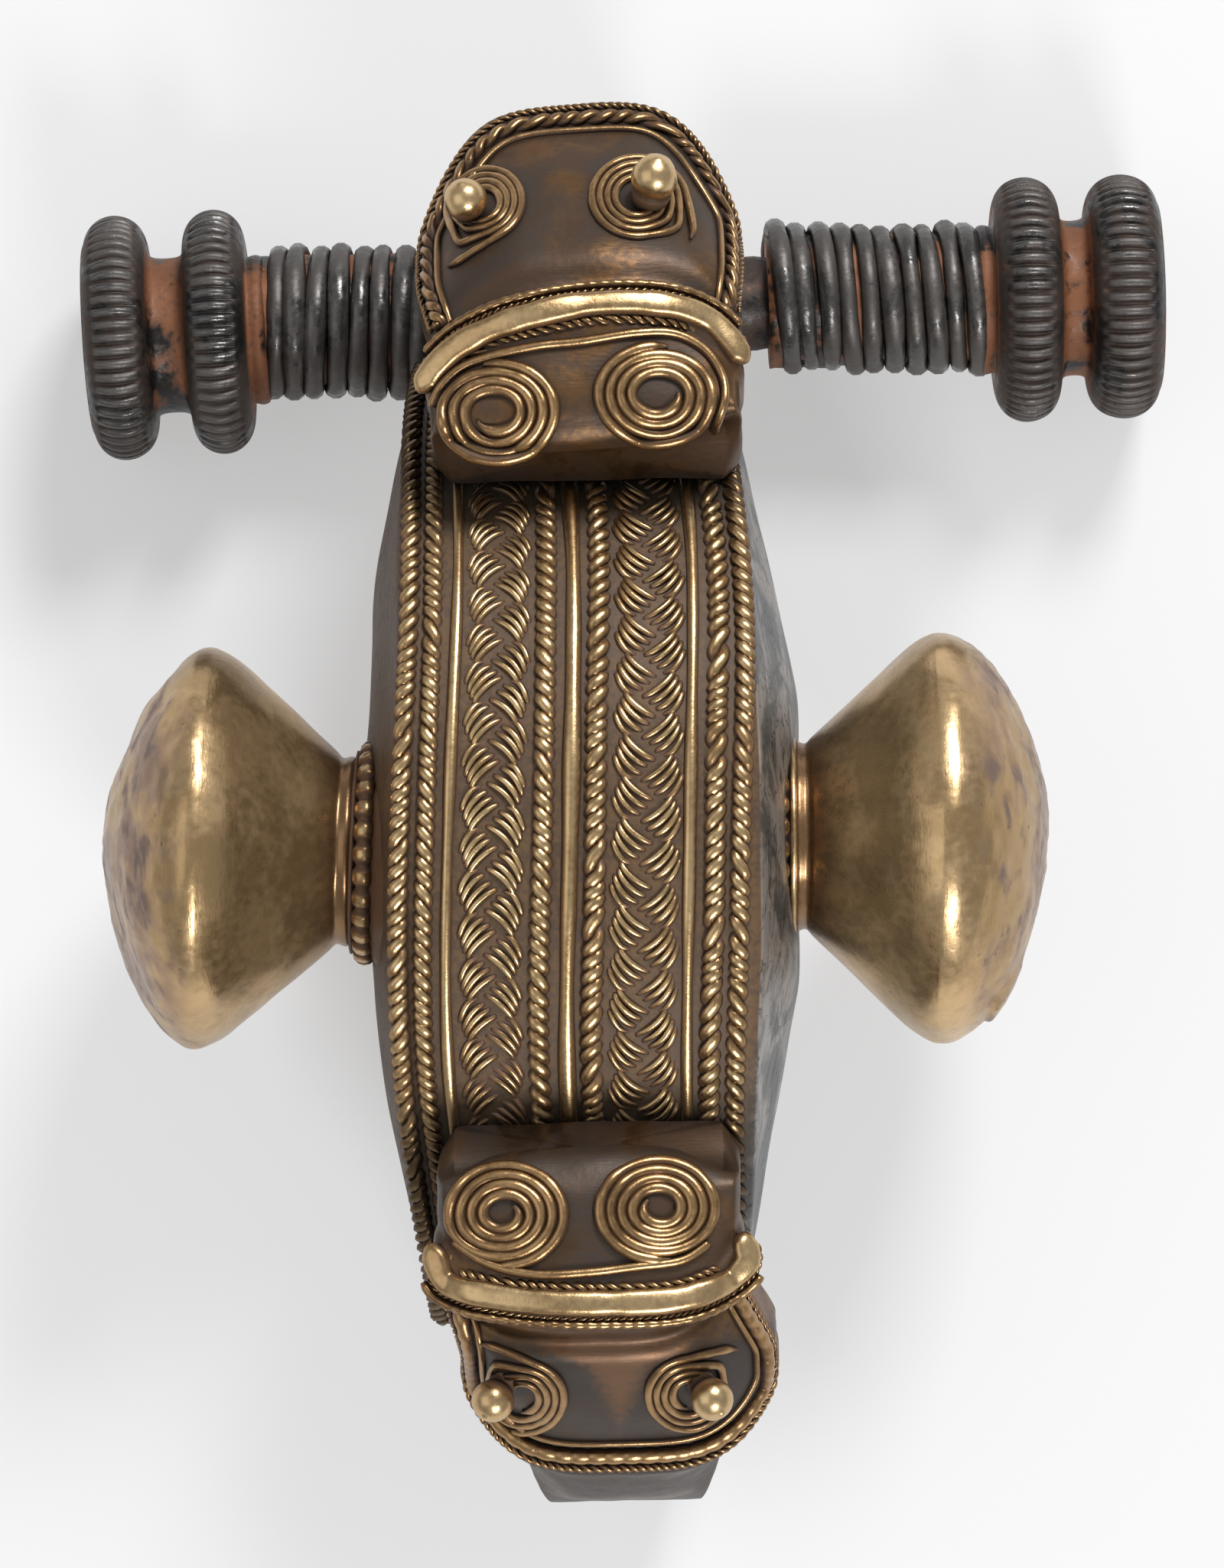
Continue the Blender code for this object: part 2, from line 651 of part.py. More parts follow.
def make_coil(word, side, start, crossbar, iron):
    """The wound wire as a ribbed sleeve, one rib for each turn."""
    end = SPOOL_FROM - GAP
    turns = round((end - start) / COIL_WIRE)
    pitch = (end - start) / turns
    inner = AXLE_RADIUS + RUNNING_GAP
    outer = inner + COIL_WIRE
    profile = [(outer - 0.4 * COIL_WIRE, end)]
    for turn in range(turns):
        profile.append((outer, end - pitch * (turn + 0.5)))
        profile.append((outer - 0.4 * COIL_WIRE, end - pitch * (turn + 1)))
    profile += [(inner, start), (inner, end)]
    turned(f"{word}_coil", profile, iron, crossbar, along_x((0, 0, 0), side), 12, closed=True)


def make_spool(word, side, crossbar, iron):
    """Two discs with rounded rims on one core, bored for the axle's end."""
    far = SPOOL_FROM + 2 * SPOOL_DISC + SPOOL_GROOVE
    bore, bore_end = AXLE_RADIUS + GAP, SPOOL_FROM + SPOOL_DISC + GAP

    def disc(low):
        high = low + SPOOL_DISC
        rim, turn = SPOOL_RADIUS, SPOOL_ROUND
        return [
            (rim - 0.8 * turn, high), (rim - 0.2 * turn, high - 0.45 * turn), (rim, high - turn),
            (rim, low + turn), (rim - 0.2 * turn, low + 0.45 * turn), (rim - 0.8 * turn, low),
        ]

    profile = [(0, far)] + disc(far - SPOOL_DISC)
    profile += [(SPOOL_CORE_RADIUS, far - SPOOL_DISC), (SPOOL_CORE_RADIUS, SPOOL_FROM + SPOOL_DISC)]
    profile += disc(SPOOL_FROM) + [(bore, SPOOL_FROM), (bore, bore_end), (0, bore_end)]
    spool = turned(f"{word}_spool", profile, iron, crossbar, along_x((0, 0, 0), side), 18)
    reach = 2 * far
    flat = box(f"flat_{word}", (-reach, -reach, -AXLE_Z - SPOOL_RADIUS), (reach, reach, -AXLE_Z), crossbar)
    boolean(spool, "DIFFERENCE", flat)


def make_pin(frame, crossbar, iron):
    """The ring round the axle and the tapered shank, unfastened and just beside the catch."""
    inner = BORE_RADIUS
    outer = inner + PIN_RING_WALL
    half = PIN_SLOT_HALF - GAP
    at = Vector((-CROSSBAR_SHIFT / math.cos(CROSSBAR_YAW), 0, 0))
    profile = ((outer, half), (outer, -half), (inner, -half), (inner, half))
    pin = turned("pin", profile, iron, crossbar, along_x(at), 18, closed=True)
    axle_reach = AXLE_REACH - CROSSBAR_SHIFT * math.tan(CROSSBAR_YAW)
    root = Vector((0, axle_reach, AXLE_Z - inner - 0.6 * PIN_RING_WALL))
    tip = Vector((-PIN_SIDESTEP, PIN_SHORT - CATCH_REACH, CATCH_WALL + PIN_TIP_RADIUS + GAP))
    curve = bpy.data.curves.new("pin_shank", "CURVE")
    curve.dimensions = "3D"
    curve.bevel_depth = PIN_ROOT_RADIUS
    curve.bevel_resolution = 2
    curve.use_fill_caps = True
    spline = curve.splines.new("POLY")
    stops = (0.0, 0.35, 0.7, 0.94, 1.0)
    radii = (1.0, 1.0, 0.85, PIN_TIP_RADIUS / PIN_ROOT_RADIUS, 0.2)
    spline.points.add(len(stops) - 1)
    for point, stop, radius in zip(spline.points, stops, radii):
        point.co = (*root.lerp(tip, stop), 1)
        point.radius = radius
    shank = as_cutter(as_mesh(new_object("pin_shank", curve, None, frame), None))
    boolean(pin, "UNION", shank)
    return pin


def make_catch(frame, gold):
    """A plate under the foot, turned up at its lower edge into a trough for the pin."""
    high = FOOT_CLEAR - GAP
    wall, half = CATCH_WALL, CATCH_TROUGH / 2
    outline = (
        (half, high), (half, wall), (-half, wall), (-half, CATCH_LIP),
        (-half - wall, CATCH_LIP), (-half - wall, 0), (half + wall, 0), (half + wall, high),
    )
    middle = CATCH_REACH - CATCH_LENGTH / 2
    standing = Matrix.Translation((0, -middle, 0)) @ Matrix.Rotation(math.pi / 2, 4, "X")
    return extruded("catch_plate", outline, CATCH_LENGTH / 2, gold, frame, standing)


clear_scene()
parts = collection("fibula_brooch")
cutters = collection("fibula_brooch_cutters", hidden=True)
bow_gold = material("bow gold", (0.42, 0.27, 0.12), 0.38, 1.0)
head_gold = material("head gold", (0.36, 0.23, 0.11), 0.42, 1.0)
knob_gold = material("knob gold", (0.50, 0.33, 0.14), 0.28, 1.0)
dark_iron = material("dark iron", (0.06, 0.05, 0.045), 0.5, 0.7)
pin_iron = material("pin iron", (0.09, 0.07, 0.06), 0.55, 0.7)

brooch = empty("brooch_middle", BOW_AT)
crossbar_axis = empty("crossbar_axis", (CROSSBAR_SHIFT, AXLE_REACH, AXLE_Z), brooch, CROSSBAR_YAW)

make_bow(brooch, bow_gold)
make_head(brooch, head_gold, crossbar_axis)
make_foot(brooch, head_gold)
make_studs(HEAD, brooch, head_gold)
make_studs(FOOT, brooch, head_gold)
make_knob(-1, "left", brooch, knob_gold)
make_knob(1, "right", brooch, knob_gold)
make_axle(crossbar_axis, dark_iron)
make_coil("left", -1, LEFT_COIL_FROM, crossbar_axis, dark_iron)
make_coil("right", 1, RIGHT_COIL_FROM, crossbar_axis, dark_iron)
make_spool("left", -1, crossbar_axis, dark_iron)
make_spool("right", 1, crossbar_axis, dark_iron)
make_pin(brooch, crossbar_axis, pin_iron)
make_catch(brooch, bow_gold)
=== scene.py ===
"""Looks of the fibula brooch: gold bow and heads with soldered wirework, turned knobs and an iron crossbar.

Run it in Blender 4.5 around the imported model. Sizes are in millimetres in the frame of the bow's middle, with +X
along the crossbar, +Y to the head at the crossbar and +Z up through the crest. Each piece's object stands at BOW_AT,
so that its mesh, and the coordinates that its finish reads, keep that frame.
"""
from __future__ import annotations

import logging
import math
import random
from collections.abc import Callable, Iterable, Sequence
from dataclasses import dataclass, field
from enum import Enum

import bmesh
import bpy
import numpy as np
from mathutils import Matrix, Vector, noise
from mathutils.bvhtree import BVHTree

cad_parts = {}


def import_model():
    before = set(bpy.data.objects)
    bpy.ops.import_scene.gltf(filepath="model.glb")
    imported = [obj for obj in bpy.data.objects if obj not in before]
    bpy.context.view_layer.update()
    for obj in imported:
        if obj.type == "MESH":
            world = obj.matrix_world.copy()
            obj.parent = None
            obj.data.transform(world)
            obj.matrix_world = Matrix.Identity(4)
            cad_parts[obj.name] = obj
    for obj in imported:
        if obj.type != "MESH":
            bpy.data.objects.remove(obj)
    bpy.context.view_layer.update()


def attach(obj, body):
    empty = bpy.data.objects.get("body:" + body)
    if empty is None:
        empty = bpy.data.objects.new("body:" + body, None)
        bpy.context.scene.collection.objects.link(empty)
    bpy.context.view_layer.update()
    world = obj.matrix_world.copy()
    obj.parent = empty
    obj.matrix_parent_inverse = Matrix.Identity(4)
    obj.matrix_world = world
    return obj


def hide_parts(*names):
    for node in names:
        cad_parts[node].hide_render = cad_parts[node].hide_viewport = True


LOG = logging.getLogger("brooch")
MM = 0.001
BOW_AT = (-0.0026, -0.0012, 0.0)
GAP = 0.3

Array = np.ndarray
Colour = tuple[float, float, float]
Profile = Sequence[tuple[float, float]]


class Body(Enum):
    """The bodies that a piece can ride on."""

    BROOCH = "brooch"
    PIN = "pin_body"


class Slot(Enum):
    """Names of the material slots."""

    BOW = "bow_gold"
    HEAD = "head_gold"
    KNOB = "knob_gold"
    IRON = "dark_iron"
    PIN = "pin_iron"


class Lay(Enum):
    """Which way a rope's strands lean, seen from above with its course running up."""

    SLASH = 1
    BACKSLASH = -1


def smooth_step(low: float, high: float, value: Array | float) -> Array | float:
    """Smooth rise from 0 at low to 1 at high.

    Args:
        low: Where the rise starts.
        high: Where it ends.
        value: Numbers to look up.

    Returns:
        The share of the rise at each value.
    """
    share = np.clip((value - low) / (high - low), 0.0, 1.0)
    return share * share * (3.0 - 2.0 * share)


def curved(controls: Iterable[Sequence[float]], steps: int, closed: bool = False) -> Array:
    """A smooth line through control points.

    Args:
        controls: Points of any dimension.
        steps: Segments between one control point and the next.
        closed: Whether the line returns to its first point.

    Returns:
        The points of a Catmull-Rom line through the controls.
    """
    points = np.array([list(point) for point in controls], float)
    if closed:
        padded = np.vstack([points[-1], points, points[0], points[1]])
    else:
        padded = np.vstack([2 * points[0] - points[1], points, 2 * points[-1] - points[-2]])
    spans = len(padded) - 3
    out = []
    for span in range(spans):
        before, start, end, after = padded[span : span + 4]
        for step in range(steps):
            t = step / steps
            out.append(
                0.5
                * (
                    2 * start
                    + (end - before) * t
                    + (2 * before - 5 * start + 4 * end - after) * t**2
                    + (3 * start - before - 3 * end + after) * t**3
                )
            )
    if not closed:
        out.append(points[-1])
    return np.array(out)


def roughened(points: Array, scale: float, amount: float, seed: float) -> Array:
    """Uneven offsets for points, as hand work leaves.

    Args:
        points: Points in millimetres.
        scale: Waves per millimetre.
        amount: Largest offset in millimetres.
        seed: Shifts the pattern.

    Returns:
        One signed offset for each point.
    """
    shift = Vector((seed, 1.7 * seed, -seed))
    return amount * np.array([noise.noise(Vector(point) * scale + shift) for point in points])


@dataclass
class Course:
    """A line on a surface that a wire follows, with the surface's normals along it."""

    points: Array
    normals: Array

    def tangents(self) -> Array:
        """Unit directions along the line."""
        steps = np.gradient(self.points, axis=0)
        return steps / np.maximum(np.linalg.norm(steps, axis=1, keepdims=True), 1e-9)

    def frame(self) -> tuple[Array, Array]:
        """The unit sides and normals, square to the line.

        Returns:
            The directions to the right of the line and away from its ground.
        """
        along = self.tangents()
        sides = np.cross(along, self.normals)
        sides /= np.maximum(np.linalg.norm(sides, axis=1, keepdims=True), 1e-9)
        return sides, np.cross(sides, along)

    def lengths(self) -> Array:
        """Distance along the line at each point."""
        steps = np.linalg.norm(np.diff(self.points, axis=0), axis=1)
        return np.concatenate([[0.0], np.cumsum(steps)])

    def resampled(self, step: float) -> Course:
        """The same line with points an even step apart.

        Args:
            step: Distance between points in millimetres.

        Returns:
            The new course.
        """
        lengths = self.lengths()
        count = max(4, int(round(lengths[-1] / step)) + 1)
        at = np.linspace(0.0, lengths[-1], count)
        points = np.stack([np.interp(at, lengths, self.points[:, i]) for i in range(3)], 1)
        normals = np.stack([np.interp(at, lengths, self.normals[:, i]) for i in range(3)], 1)
        return Course(points, normals / np.linalg.norm(normals, axis=1, keepdims=True))

    def moved(self, aside: Array | float, up: Array | float) -> Course:
        """The line shifted over its ground.

        Args:
            aside: Shift to the right of the line, one for all or one for each point.
            up: Shift away from the ground.

        Returns:
            The shifted course.
        """
        sides, normals = self.frame()
        aside = np.broadcast_to(aside, len(self.points))[:, None]
        up = np.broadcast_to(up, len(self.points))[:, None]
        return Course(self.points + sides * aside + normals * up, self.normals)


class Draft:
    """Collects the faces of one piece in millimetres, with how proud of its ground each point stands."""

    def __init__(self, name: str) -> None:
        """Starts an empty piece.

        Args:
            name: The piece's name.
        """
        self.name = name
        self.points: list[Array] = []
        self.relief: list[Array] = []
        self.quads: list[Array] = []
        self.fans: list[Array] = []
        self.count = 0

    def grid(self, rows: Array, relief: Array | float = 1.0, ends: bool = True, ring: bool = False) -> None:
        """Adds a skin over rows of points, each row a closed loop.

        Args:
            rows: Points, as an array of rows, columns and three coordinates.
            relief: How proud each point stands, from 0 to 1.
            ends: Whether the first and last rows are closed by a fan.
            ring: Whether the last row joins the first.
        """
        count, across = rows.shape[:2]
        index = self.count + np.arange(count * across).reshape(count, across)
        proud = np.broadcast_to(relief, (count, across))
        self.points.append(rows.reshape(-1, 3))
        self.relief.append(proud.reshape(-1))
        self.count += count * across
        after = np.roll(index, -1, axis=1)
        low, high = (index, np.roll(index, -1, axis=0)) if ring else (index[:-1], index[1:])
        low_after, high_after = (after, np.roll(after, -1, axis=0)) if ring else (after[:-1], after[1:])
        self.quads.append(np.stack([low, high, high_after, low_after], -1).reshape(-1, 4))
        if ends and not ring:
            for row, flip in ((0, False), (-1, True)):
                self._fan(rows[row], index[row], after[row], proud[row], flip)

    def _fan(self, loop: Array, index: Array, after: Array, relief: Array, flip: bool) -> None:
        """Closes a loop with triangles to its middle.

        Args:
            loop: The loop's points.
            index: Their indices.
            after: The indices of the points that follow them.
            relief: How proud they stand.
            flip: Whether the triangles turn the other way.
        """
        self.points.append(loop.mean(0, keepdims=True))
        self.relief.append(np.array([relief.mean()]))
        middle = np.full(len(index), self.count)
        self.count += 1
        order = [middle, after, index] if flip else [middle, index, after]
        self.fans.append(np.stack(order, -1))

    def wire(
        self,
        course: Course,
        across: Array | float,
        high: Array | float | None = None,
        sides: int = 8,
        ground: Course | None = None,
        reach: tuple[float, float] = (-0.3, 0.8),
        flat: float | None = None,
    ) -> None:
        """Adds a round or oval wire with closed ends.

        Args:
            course: The wire's middle line.
            across: Half its width, one for all or one for each point.
            high: Half its height, or None for a round wire.
            sides: Points round the wire.
            ground: The line on the ground under it, point for point, that relief is measured from.
            reach: The heights over the ground that count as sunk and as proud, as shares of the width.
            flat: Height over the ground above which the wire is worn down, or None.
        """
        ground = ground or course
        right, up = course.frame()
        across = np.broadcast_to(across, len(right)).astype(float)
        high = across if high is None else np.broadcast_to(high, len(right)).astype(float)
        angles = np.linspace(0.0, math.tau, sides, endpoint=False)
        rings = (
            course.points[:, None]
            + (right * across[:, None])[:, None] * np.cos(angles)[None, :, None]
            + (up * high[:, None])[:, None] * np.sin(angles)[None, :, None]
        )
        base_up = ground.frame()[1]
        height = ((rings - ground.points[:, None]) * base_up[:, None]).sum(-1)
        if flat is not None:
            worn = np.where(height > flat, flat + 0.25 * (height - flat), height)
            rings = rings + base_up[:, None] * (worn - height)[..., None]
            height = worn
        width = float(across.max())
        low, top = reach[0] * width, reach[1] * width
        self.grid(rings, np.clip((height - low) / (top - low), 0.0, 1.0))

    def rope(
        self,
        course: Course,
        radius: float,
        pitch: float,
        lay: Lay,
        squash: float = 0.85,
        flat: float | None = None,
        per_turn: int = 12,
        sides: int = 7,
    ) -> None:
        """Adds a rope of two wires twisted together, with its tops worn flat.

        Args:
            course: The rope's middle line.
            radius: Half the rope's width.
            pitch: Length of one bump, which is half a turn.
            lay: Which way the strands lean.
            squash: Height as a share of the width.
            flat: Height over the course above which the strands are worn, as a share of the radius.
            per_turn: Points along one whole turn.
            sides: Points round each strand.
        """
        fine = course.resampled(2 * pitch / per_turn)
        uneven = 0.9 * pitch * np.array([noise.noise(Vector(point) * 0.45) for point in fine.points])
        for strand in (0.0, math.pi):
            turn = -lay.value * math.pi * (fine.lengths() + uneven) / pitch + strand
            twisted = fine.moved(0.46 * radius * np.cos(turn), 0.46 * radius * squash * np.sin(turn))
            worn = None if flat is None else flat * radius
            self.wire(
                Course(twisted.points, fine.normals), 0.57 * radius, 0.57 * radius * squash, sides, fine,
                (-0.5, 1.3), worn,
            )

    def turned(self, profile: Profile, place: Matrix, steps: int, relief: float = 1.0) -> Array:
        """Adds a body turned about the local Z axis.

        Args:
            profile: Points (radius, height) from one end to the other.
            place: Where the axis stands, in millimetres.
            steps: Points round the axis.
            relief: How proud the surface stands.

        Returns:
            The rows of points, before they were placed.
        """
        rows = self.turning(profile, steps)
        self.grid(placed(rows, place), relief)
        return rows

    @staticmethod
    def turning(profile: Profile, steps: int) -> Array:
        """Rows of points of a profile turned about Z."""
        angles = np.linspace(0.0, math.tau, steps, endpoint=False)
        radius = np.array([point[0] for point in profile])[:, None]
        height = np.array([point[1] for point in profile])[:, None]
        return np.stack(
            [radius * np.cos(angles), radius * np.sin(angles), np.broadcast_to(height, (len(radius), steps))], -1
        )

    def mesh(self, recalculated: bool = False) -> bpy.types.Mesh:
        """The piece's mesh in metres, smooth, with its relief as an attribute.

        Args:
            recalculated: Whether the faces are turned outwards afterwards.

        Returns:
            The new mesh.
        """
        points = np.concatenate(self.points) * MM
        mesh = bpy.data.meshes.new(self.name)
        quads = np.concatenate(self.quads) if self.quads else np.zeros((0, 4), int)
        fans = np.concatenate(self.fans) if self.fans else np.zeros((0, 3), int)
        mesh.vertices.add(len(points))
        mesh.vertices.foreach_set("co", points.astype(np.float32).ravel())
        mesh.loops.add(quads.size + fans.size)
        mesh.loops.foreach_set("vertex_index", np.concatenate([quads.ravel(), fans.ravel()]).astype(np.int32))
        mesh.polygons.add(len(quads) + len(fans))
        starts = np.concatenate([4 * np.arange(len(quads)), quads.size + 3 * np.arange(len(fans))])
        mesh.polygons.foreach_set("loop_start", starts.astype(np.int32))
        mesh.update(calc_edges=True)
        mesh.validate()
        if recalculated:
            built = bmesh.new()
            built.from_mesh(mesh)
            bmesh.ops.recalc_face_normals(built, faces=built.faces[:])
            built.to_mesh(mesh)
            built.free()
        relief = mesh.attributes.new("relief", "FLOAT", "POINT")
        relief.data.foreach_set("value", np.concatenate(self.relief).astype(np.float32))
        mesh.shade_smooth()
        return mesh

    def piece(
        self,
        finish: bpy.types.Material,
        slot: Slot,
        body: Body = Body.BROOCH,
        replaces: Sequence[str] = (),
        recalculated: bool = False,
    ) -> bpy.types.Object:
        """The finished piece, riding on its body.

        Args:
            finish: Its material.
            slot: The slot that it belongs to.
            body: The body that it rides on.
            replaces: CAD nodes that it stands for.
            recalculated: Whether the faces are turned outwards afterwards.

        Returns:
            The new object.
        """
        return settle(self.mesh(recalculated), finish, slot, body, replaces)


def settle(
    mesh: bpy.types.Mesh,
    finish: bpy.types.Material,
    slot: Slot,
    body: Body = Body.BROOCH,
    replaces: Sequence[str] = (),
) -> bpy.types.Object:
    """Puts a mesh into the scene as a piece.

    Args:
        mesh: The mesh, in metres from BOW_AT.
        finish: Its material.
        slot: Not used.
        body: The body that it rides on.
        replaces: CAD nodes that it stands for.

    Returns:
        The new object.
    """
    piece = bpy.data.objects.new(mesh.name, mesh)
    bpy.context.scene.collection.objects.link(piece)
    piece.location = BOW_AT
    mesh.materials.clear()
    mesh.materials.append(finish)
    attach(piece, body.value)
    if replaces:
        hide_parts(*replaces)
    LOG.info("%s: %d faces", piece.name, len(mesh.polygons))
    return piece


def placed(points: Array, place: Matrix) -> Array:
    """Points after a placing.

    Args:
        points: Any array whose last axis is three coordinates.
        place: The placing.

    Returns:
        The placed points, in the same shape.
    """
    matrix = np.array(place)
    return points @ matrix[:3, :3].T + matrix[:3, 3]


def evaluated(obj: bpy.types.Object, name: str) -> bpy.types.Mesh:
    """A helper's mesh with its modifiers applied; the helper goes.

    Args:
        obj: The helper.
        name: The new mesh's name.

    Returns:
        The new mesh.
    """
    bpy.context.view_layer.update()
    graph = bpy.context.evaluated_depsgraph_get()
    mesh = bpy.data.meshes.new_from_object(obj.evaluated_get(graph))
    mesh.name = name
    bpy.data.objects.remove(obj, do_unlink=True)
    return mesh


class Value:
    """A number that changes over a surface, written in sums and products."""

    def __init__(self, shader: Shader, socket: bpy.types.NodeSocket) -> None:
        """Wraps an output socket of a shader's tree."""
        self.shader = shader
        self.socket = socket

    def maths(self, operation: str, *others: Value | float) -> Value:
        """The result of a Math node with this value first.

        Args:
            operation: The node's operation.
            others: Its other inputs.

        Returns:
            The result.
        """
        return self.shader.maths(operation, self, *others)

    def __add__(self, other: Value | float) -> Value:
        """Sum."""
        return self.maths("ADD", other)

    def __sub__(self, other: Value | float) -> Value:
        """Difference."""
        return self.maths("SUBTRACT", other)

    def __mul__(self, other: Value | float) -> Value:
        """Product."""
        return self.maths("MULTIPLY", other)

    def __radd__(self, other: float) -> Value:
        """Sum with a plain number first."""
        return self.shader.maths("ADD", other, self)

    def __rsub__(self, other: float) -> Value:
        """Difference with a plain number first."""
        return self.shader.maths("SUBTRACT", other, self)

    def __rmul__(self, other: float) -> Value:
        """Product with a plain number first."""
        return self.shader.maths("MULTIPLY", other, self)

    def rise(self, low: float, high: float) -> Value:
        """Smooth rise from 0 at low to 1 at high.

        Args:
            low: Where the rise starts.
            high: Where it ends.

        Returns:
            The share of the rise.
        """
        ranged = self.shader.node(
            "ShaderNodeMapRange", {"interpolation_type": "SMOOTHSTEP", "clamp": True},
            {"Value": self, "From Min": low, "From Max": high},
        )
        return Value(self.shader, ranged.outputs["Result"])


class Shader:
    """One material's node tree around its Principled shader."""

    def __init__(self, name: str) -> None:
        """Makes the material.

        Args:
            name: The material's name.
        """
        self.material = bpy.data.materials.new(name)
        self.material.use_nodes = True
        self.tree = self.material.node_tree
        self.surface = self.tree.nodes["Principled BSDF"]
        place = self.node("ShaderNodeTexCoord").outputs["Object"]
        scaled = self.node(
            "ShaderNodeVectorMath", {"operation": "SCALE"}, {"Vector": place, "Scale": 1 / MM}
        )
        self.place = scaled.outputs["Vector"]

    def node(
        self, kind: str, settings: dict[str, object] | None = None, inputs: dict[str | int, object] | None = None
    ) -> bpy.types.Node:
        """Adds any node.

        Args:
            kind: The node's type.
            settings: Its settings, which are set first.
            inputs: Values, sockets or links of its inputs, by name or number.

        Returns:
            The new node.
        """
        made = self.tree.nodes.new(kind)
        for name, value in (settings or {}).items():
            if name == "stops":
                self._stops(made, value)
            else:
                setattr(made, name, value)
        for name, value in (inputs or {}).items():
            self.feed(made.inputs[name], value)
        return made

    @staticmethod
    def _stops(ramp: bpy.types.Node, stops: Sequence[tuple[float, Colour]]) -> None:
        """Sets a colour ramp's stops."""
        elements = ramp.color_ramp.elements
        while len(elements) < len(stops):
            elements.new(0.5)
        for element, (position, colour) in zip(elements, stops):
            element.position = position
            element.color = (*colour, 1.0)

    def feed(self, socket: bpy.types.NodeSocket, value: object) -> None:
        """Sets or links an input socket.

        Args:
            socket: The input.
            value: A Value, a socket, a colour or a number.
        """
        if isinstance(value, Value):
            self.tree.links.new(value.socket, socket)
        elif isinstance(value, bpy.types.NodeSocket):
            self.tree.links.new(value, socket)
        elif socket.type == "RGBA" and len(value) == 3:
            socket.default_value = (*value, 1.0)
        else:
            socket.default_value = value

    def maths(self, operation: str, *terms: Value | float) -> Value:
        """A Math node on values and plain numbers.

        Args:
            operation: The node's operation.
            terms: Its inputs in order.

        Returns:
            The result.
        """
        made = self.node("ShaderNodeMath", {"operation": operation}, dict(enumerate(terms)))
        return Value(self, made.outputs["Value"])

    def mixed(self, factor: Value, low: object, high: object) -> bpy.types.NodeSocket:
        """A colour between two others.

        Args:
            factor: The share of the second colour.
            low: The first colour, or a link to it.
            high: The second colour, or a link to it.

        Returns:
            The mixed colour's socket.
        """
        made = self.node(
            "ShaderNodeMix", {"data_type": "RGBA", "clamp_factor": True}, {"Factor": factor, 6: low, 7: high}
        )
        return made.outputs[2]

    def noise(self, scale: float, detail: float = 3.0, warp: float = 0.0, stretch: Colour = (1, 1, 1)) -> Value:
        """Noise around 0.5 in the bow's frame.

        Args:
            scale: Waves per millimetre.
            detail: Octaves.
            warp: Distortion.
            stretch: Scale along each axis.

        Returns:
            The noise's value.
        """
        place: object = self.place
        if stretch != (1, 1, 1):
            place = self.node(
                "ShaderNodeVectorMath", {"operation": "MULTIPLY"}, {0: self.place, 1: stretch}
            ).outputs["Vector"]
        made = self.node(
            "ShaderNodeTexNoise", None, {"Vector": place, "Scale": scale, "Detail": detail, "Distortion": warp}
        )
        return Value(self, made.outputs["Fac"])

    def pits(self, scale: float, size: float) -> Value:
        """Small round pits.

        Args:
            scale: Cells per millimetre.
            size: Radius of a pit as a share of its cell.

        Returns:
            1 in a pit and 0 outside.
        """
        made = self.node("ShaderNodeTexVoronoi", None, {"Vector": self.place, "Scale": scale})
        return 1.0 - Value(self, made.outputs["Distance"]).rise(0.4 * size, size)

    def attribute(self, name: str) -> Value:
        """A number kept on the mesh's points."""
        return Value(self, self.node("ShaderNodeAttribute", {"attribute_name": name}).outputs["Fac"])

    def hollow(self, distance: float, samples: int = 1) -> Value:
        """How much of its surroundings a point sees within a distance in millimetres, from 0 in a crevice to 1."""
        made = self.node("ShaderNodeAmbientOcclusion", {"samples": samples}, {"Distance": distance * MM})
        return Value(self, made.outputs["AO"])

    def axis(self, name: str) -> Value:
        """One coordinate of the place, in millimetres."""
        return Value(self, self.node("ShaderNodeSeparateXYZ", None, {"Vector": self.place}).outputs[name])

    def facing(self, name: str) -> Value:
        """One coordinate of the surface's normal."""
        normal = self.node("ShaderNodeNewGeometry").outputs["Normal"]
        return Value(self, self.node("ShaderNodeSeparateXYZ", None, {"Vector": normal}).outputs[name])

    def bump(self, height: Value, depth: float, strength: float = 1.0) -> None:
        """Feeds a height into the surface's normal.

        Args:
            height: The height, as a share of the depth.
            depth: The depth in millimetres.
            strength: The Bump node's strength.
        """
        made = self.node("ShaderNodeBump", None, {"Height": height, "Distance": depth * MM, "Strength": strength})
        self.feed(self.surface.inputs["Normal"], made.outputs["Normal"])

    def dress(self, **inputs: object) -> bpy.types.Material:
        """Feeds the shader's own sockets.

        Args:
            inputs: Values by socket name, with _ for a space.

        Returns:
            The material.
        """
        for name, value in inputs.items():
            self.feed(self.surface.inputs[name.replace("_", " ")], value)
        return self.material


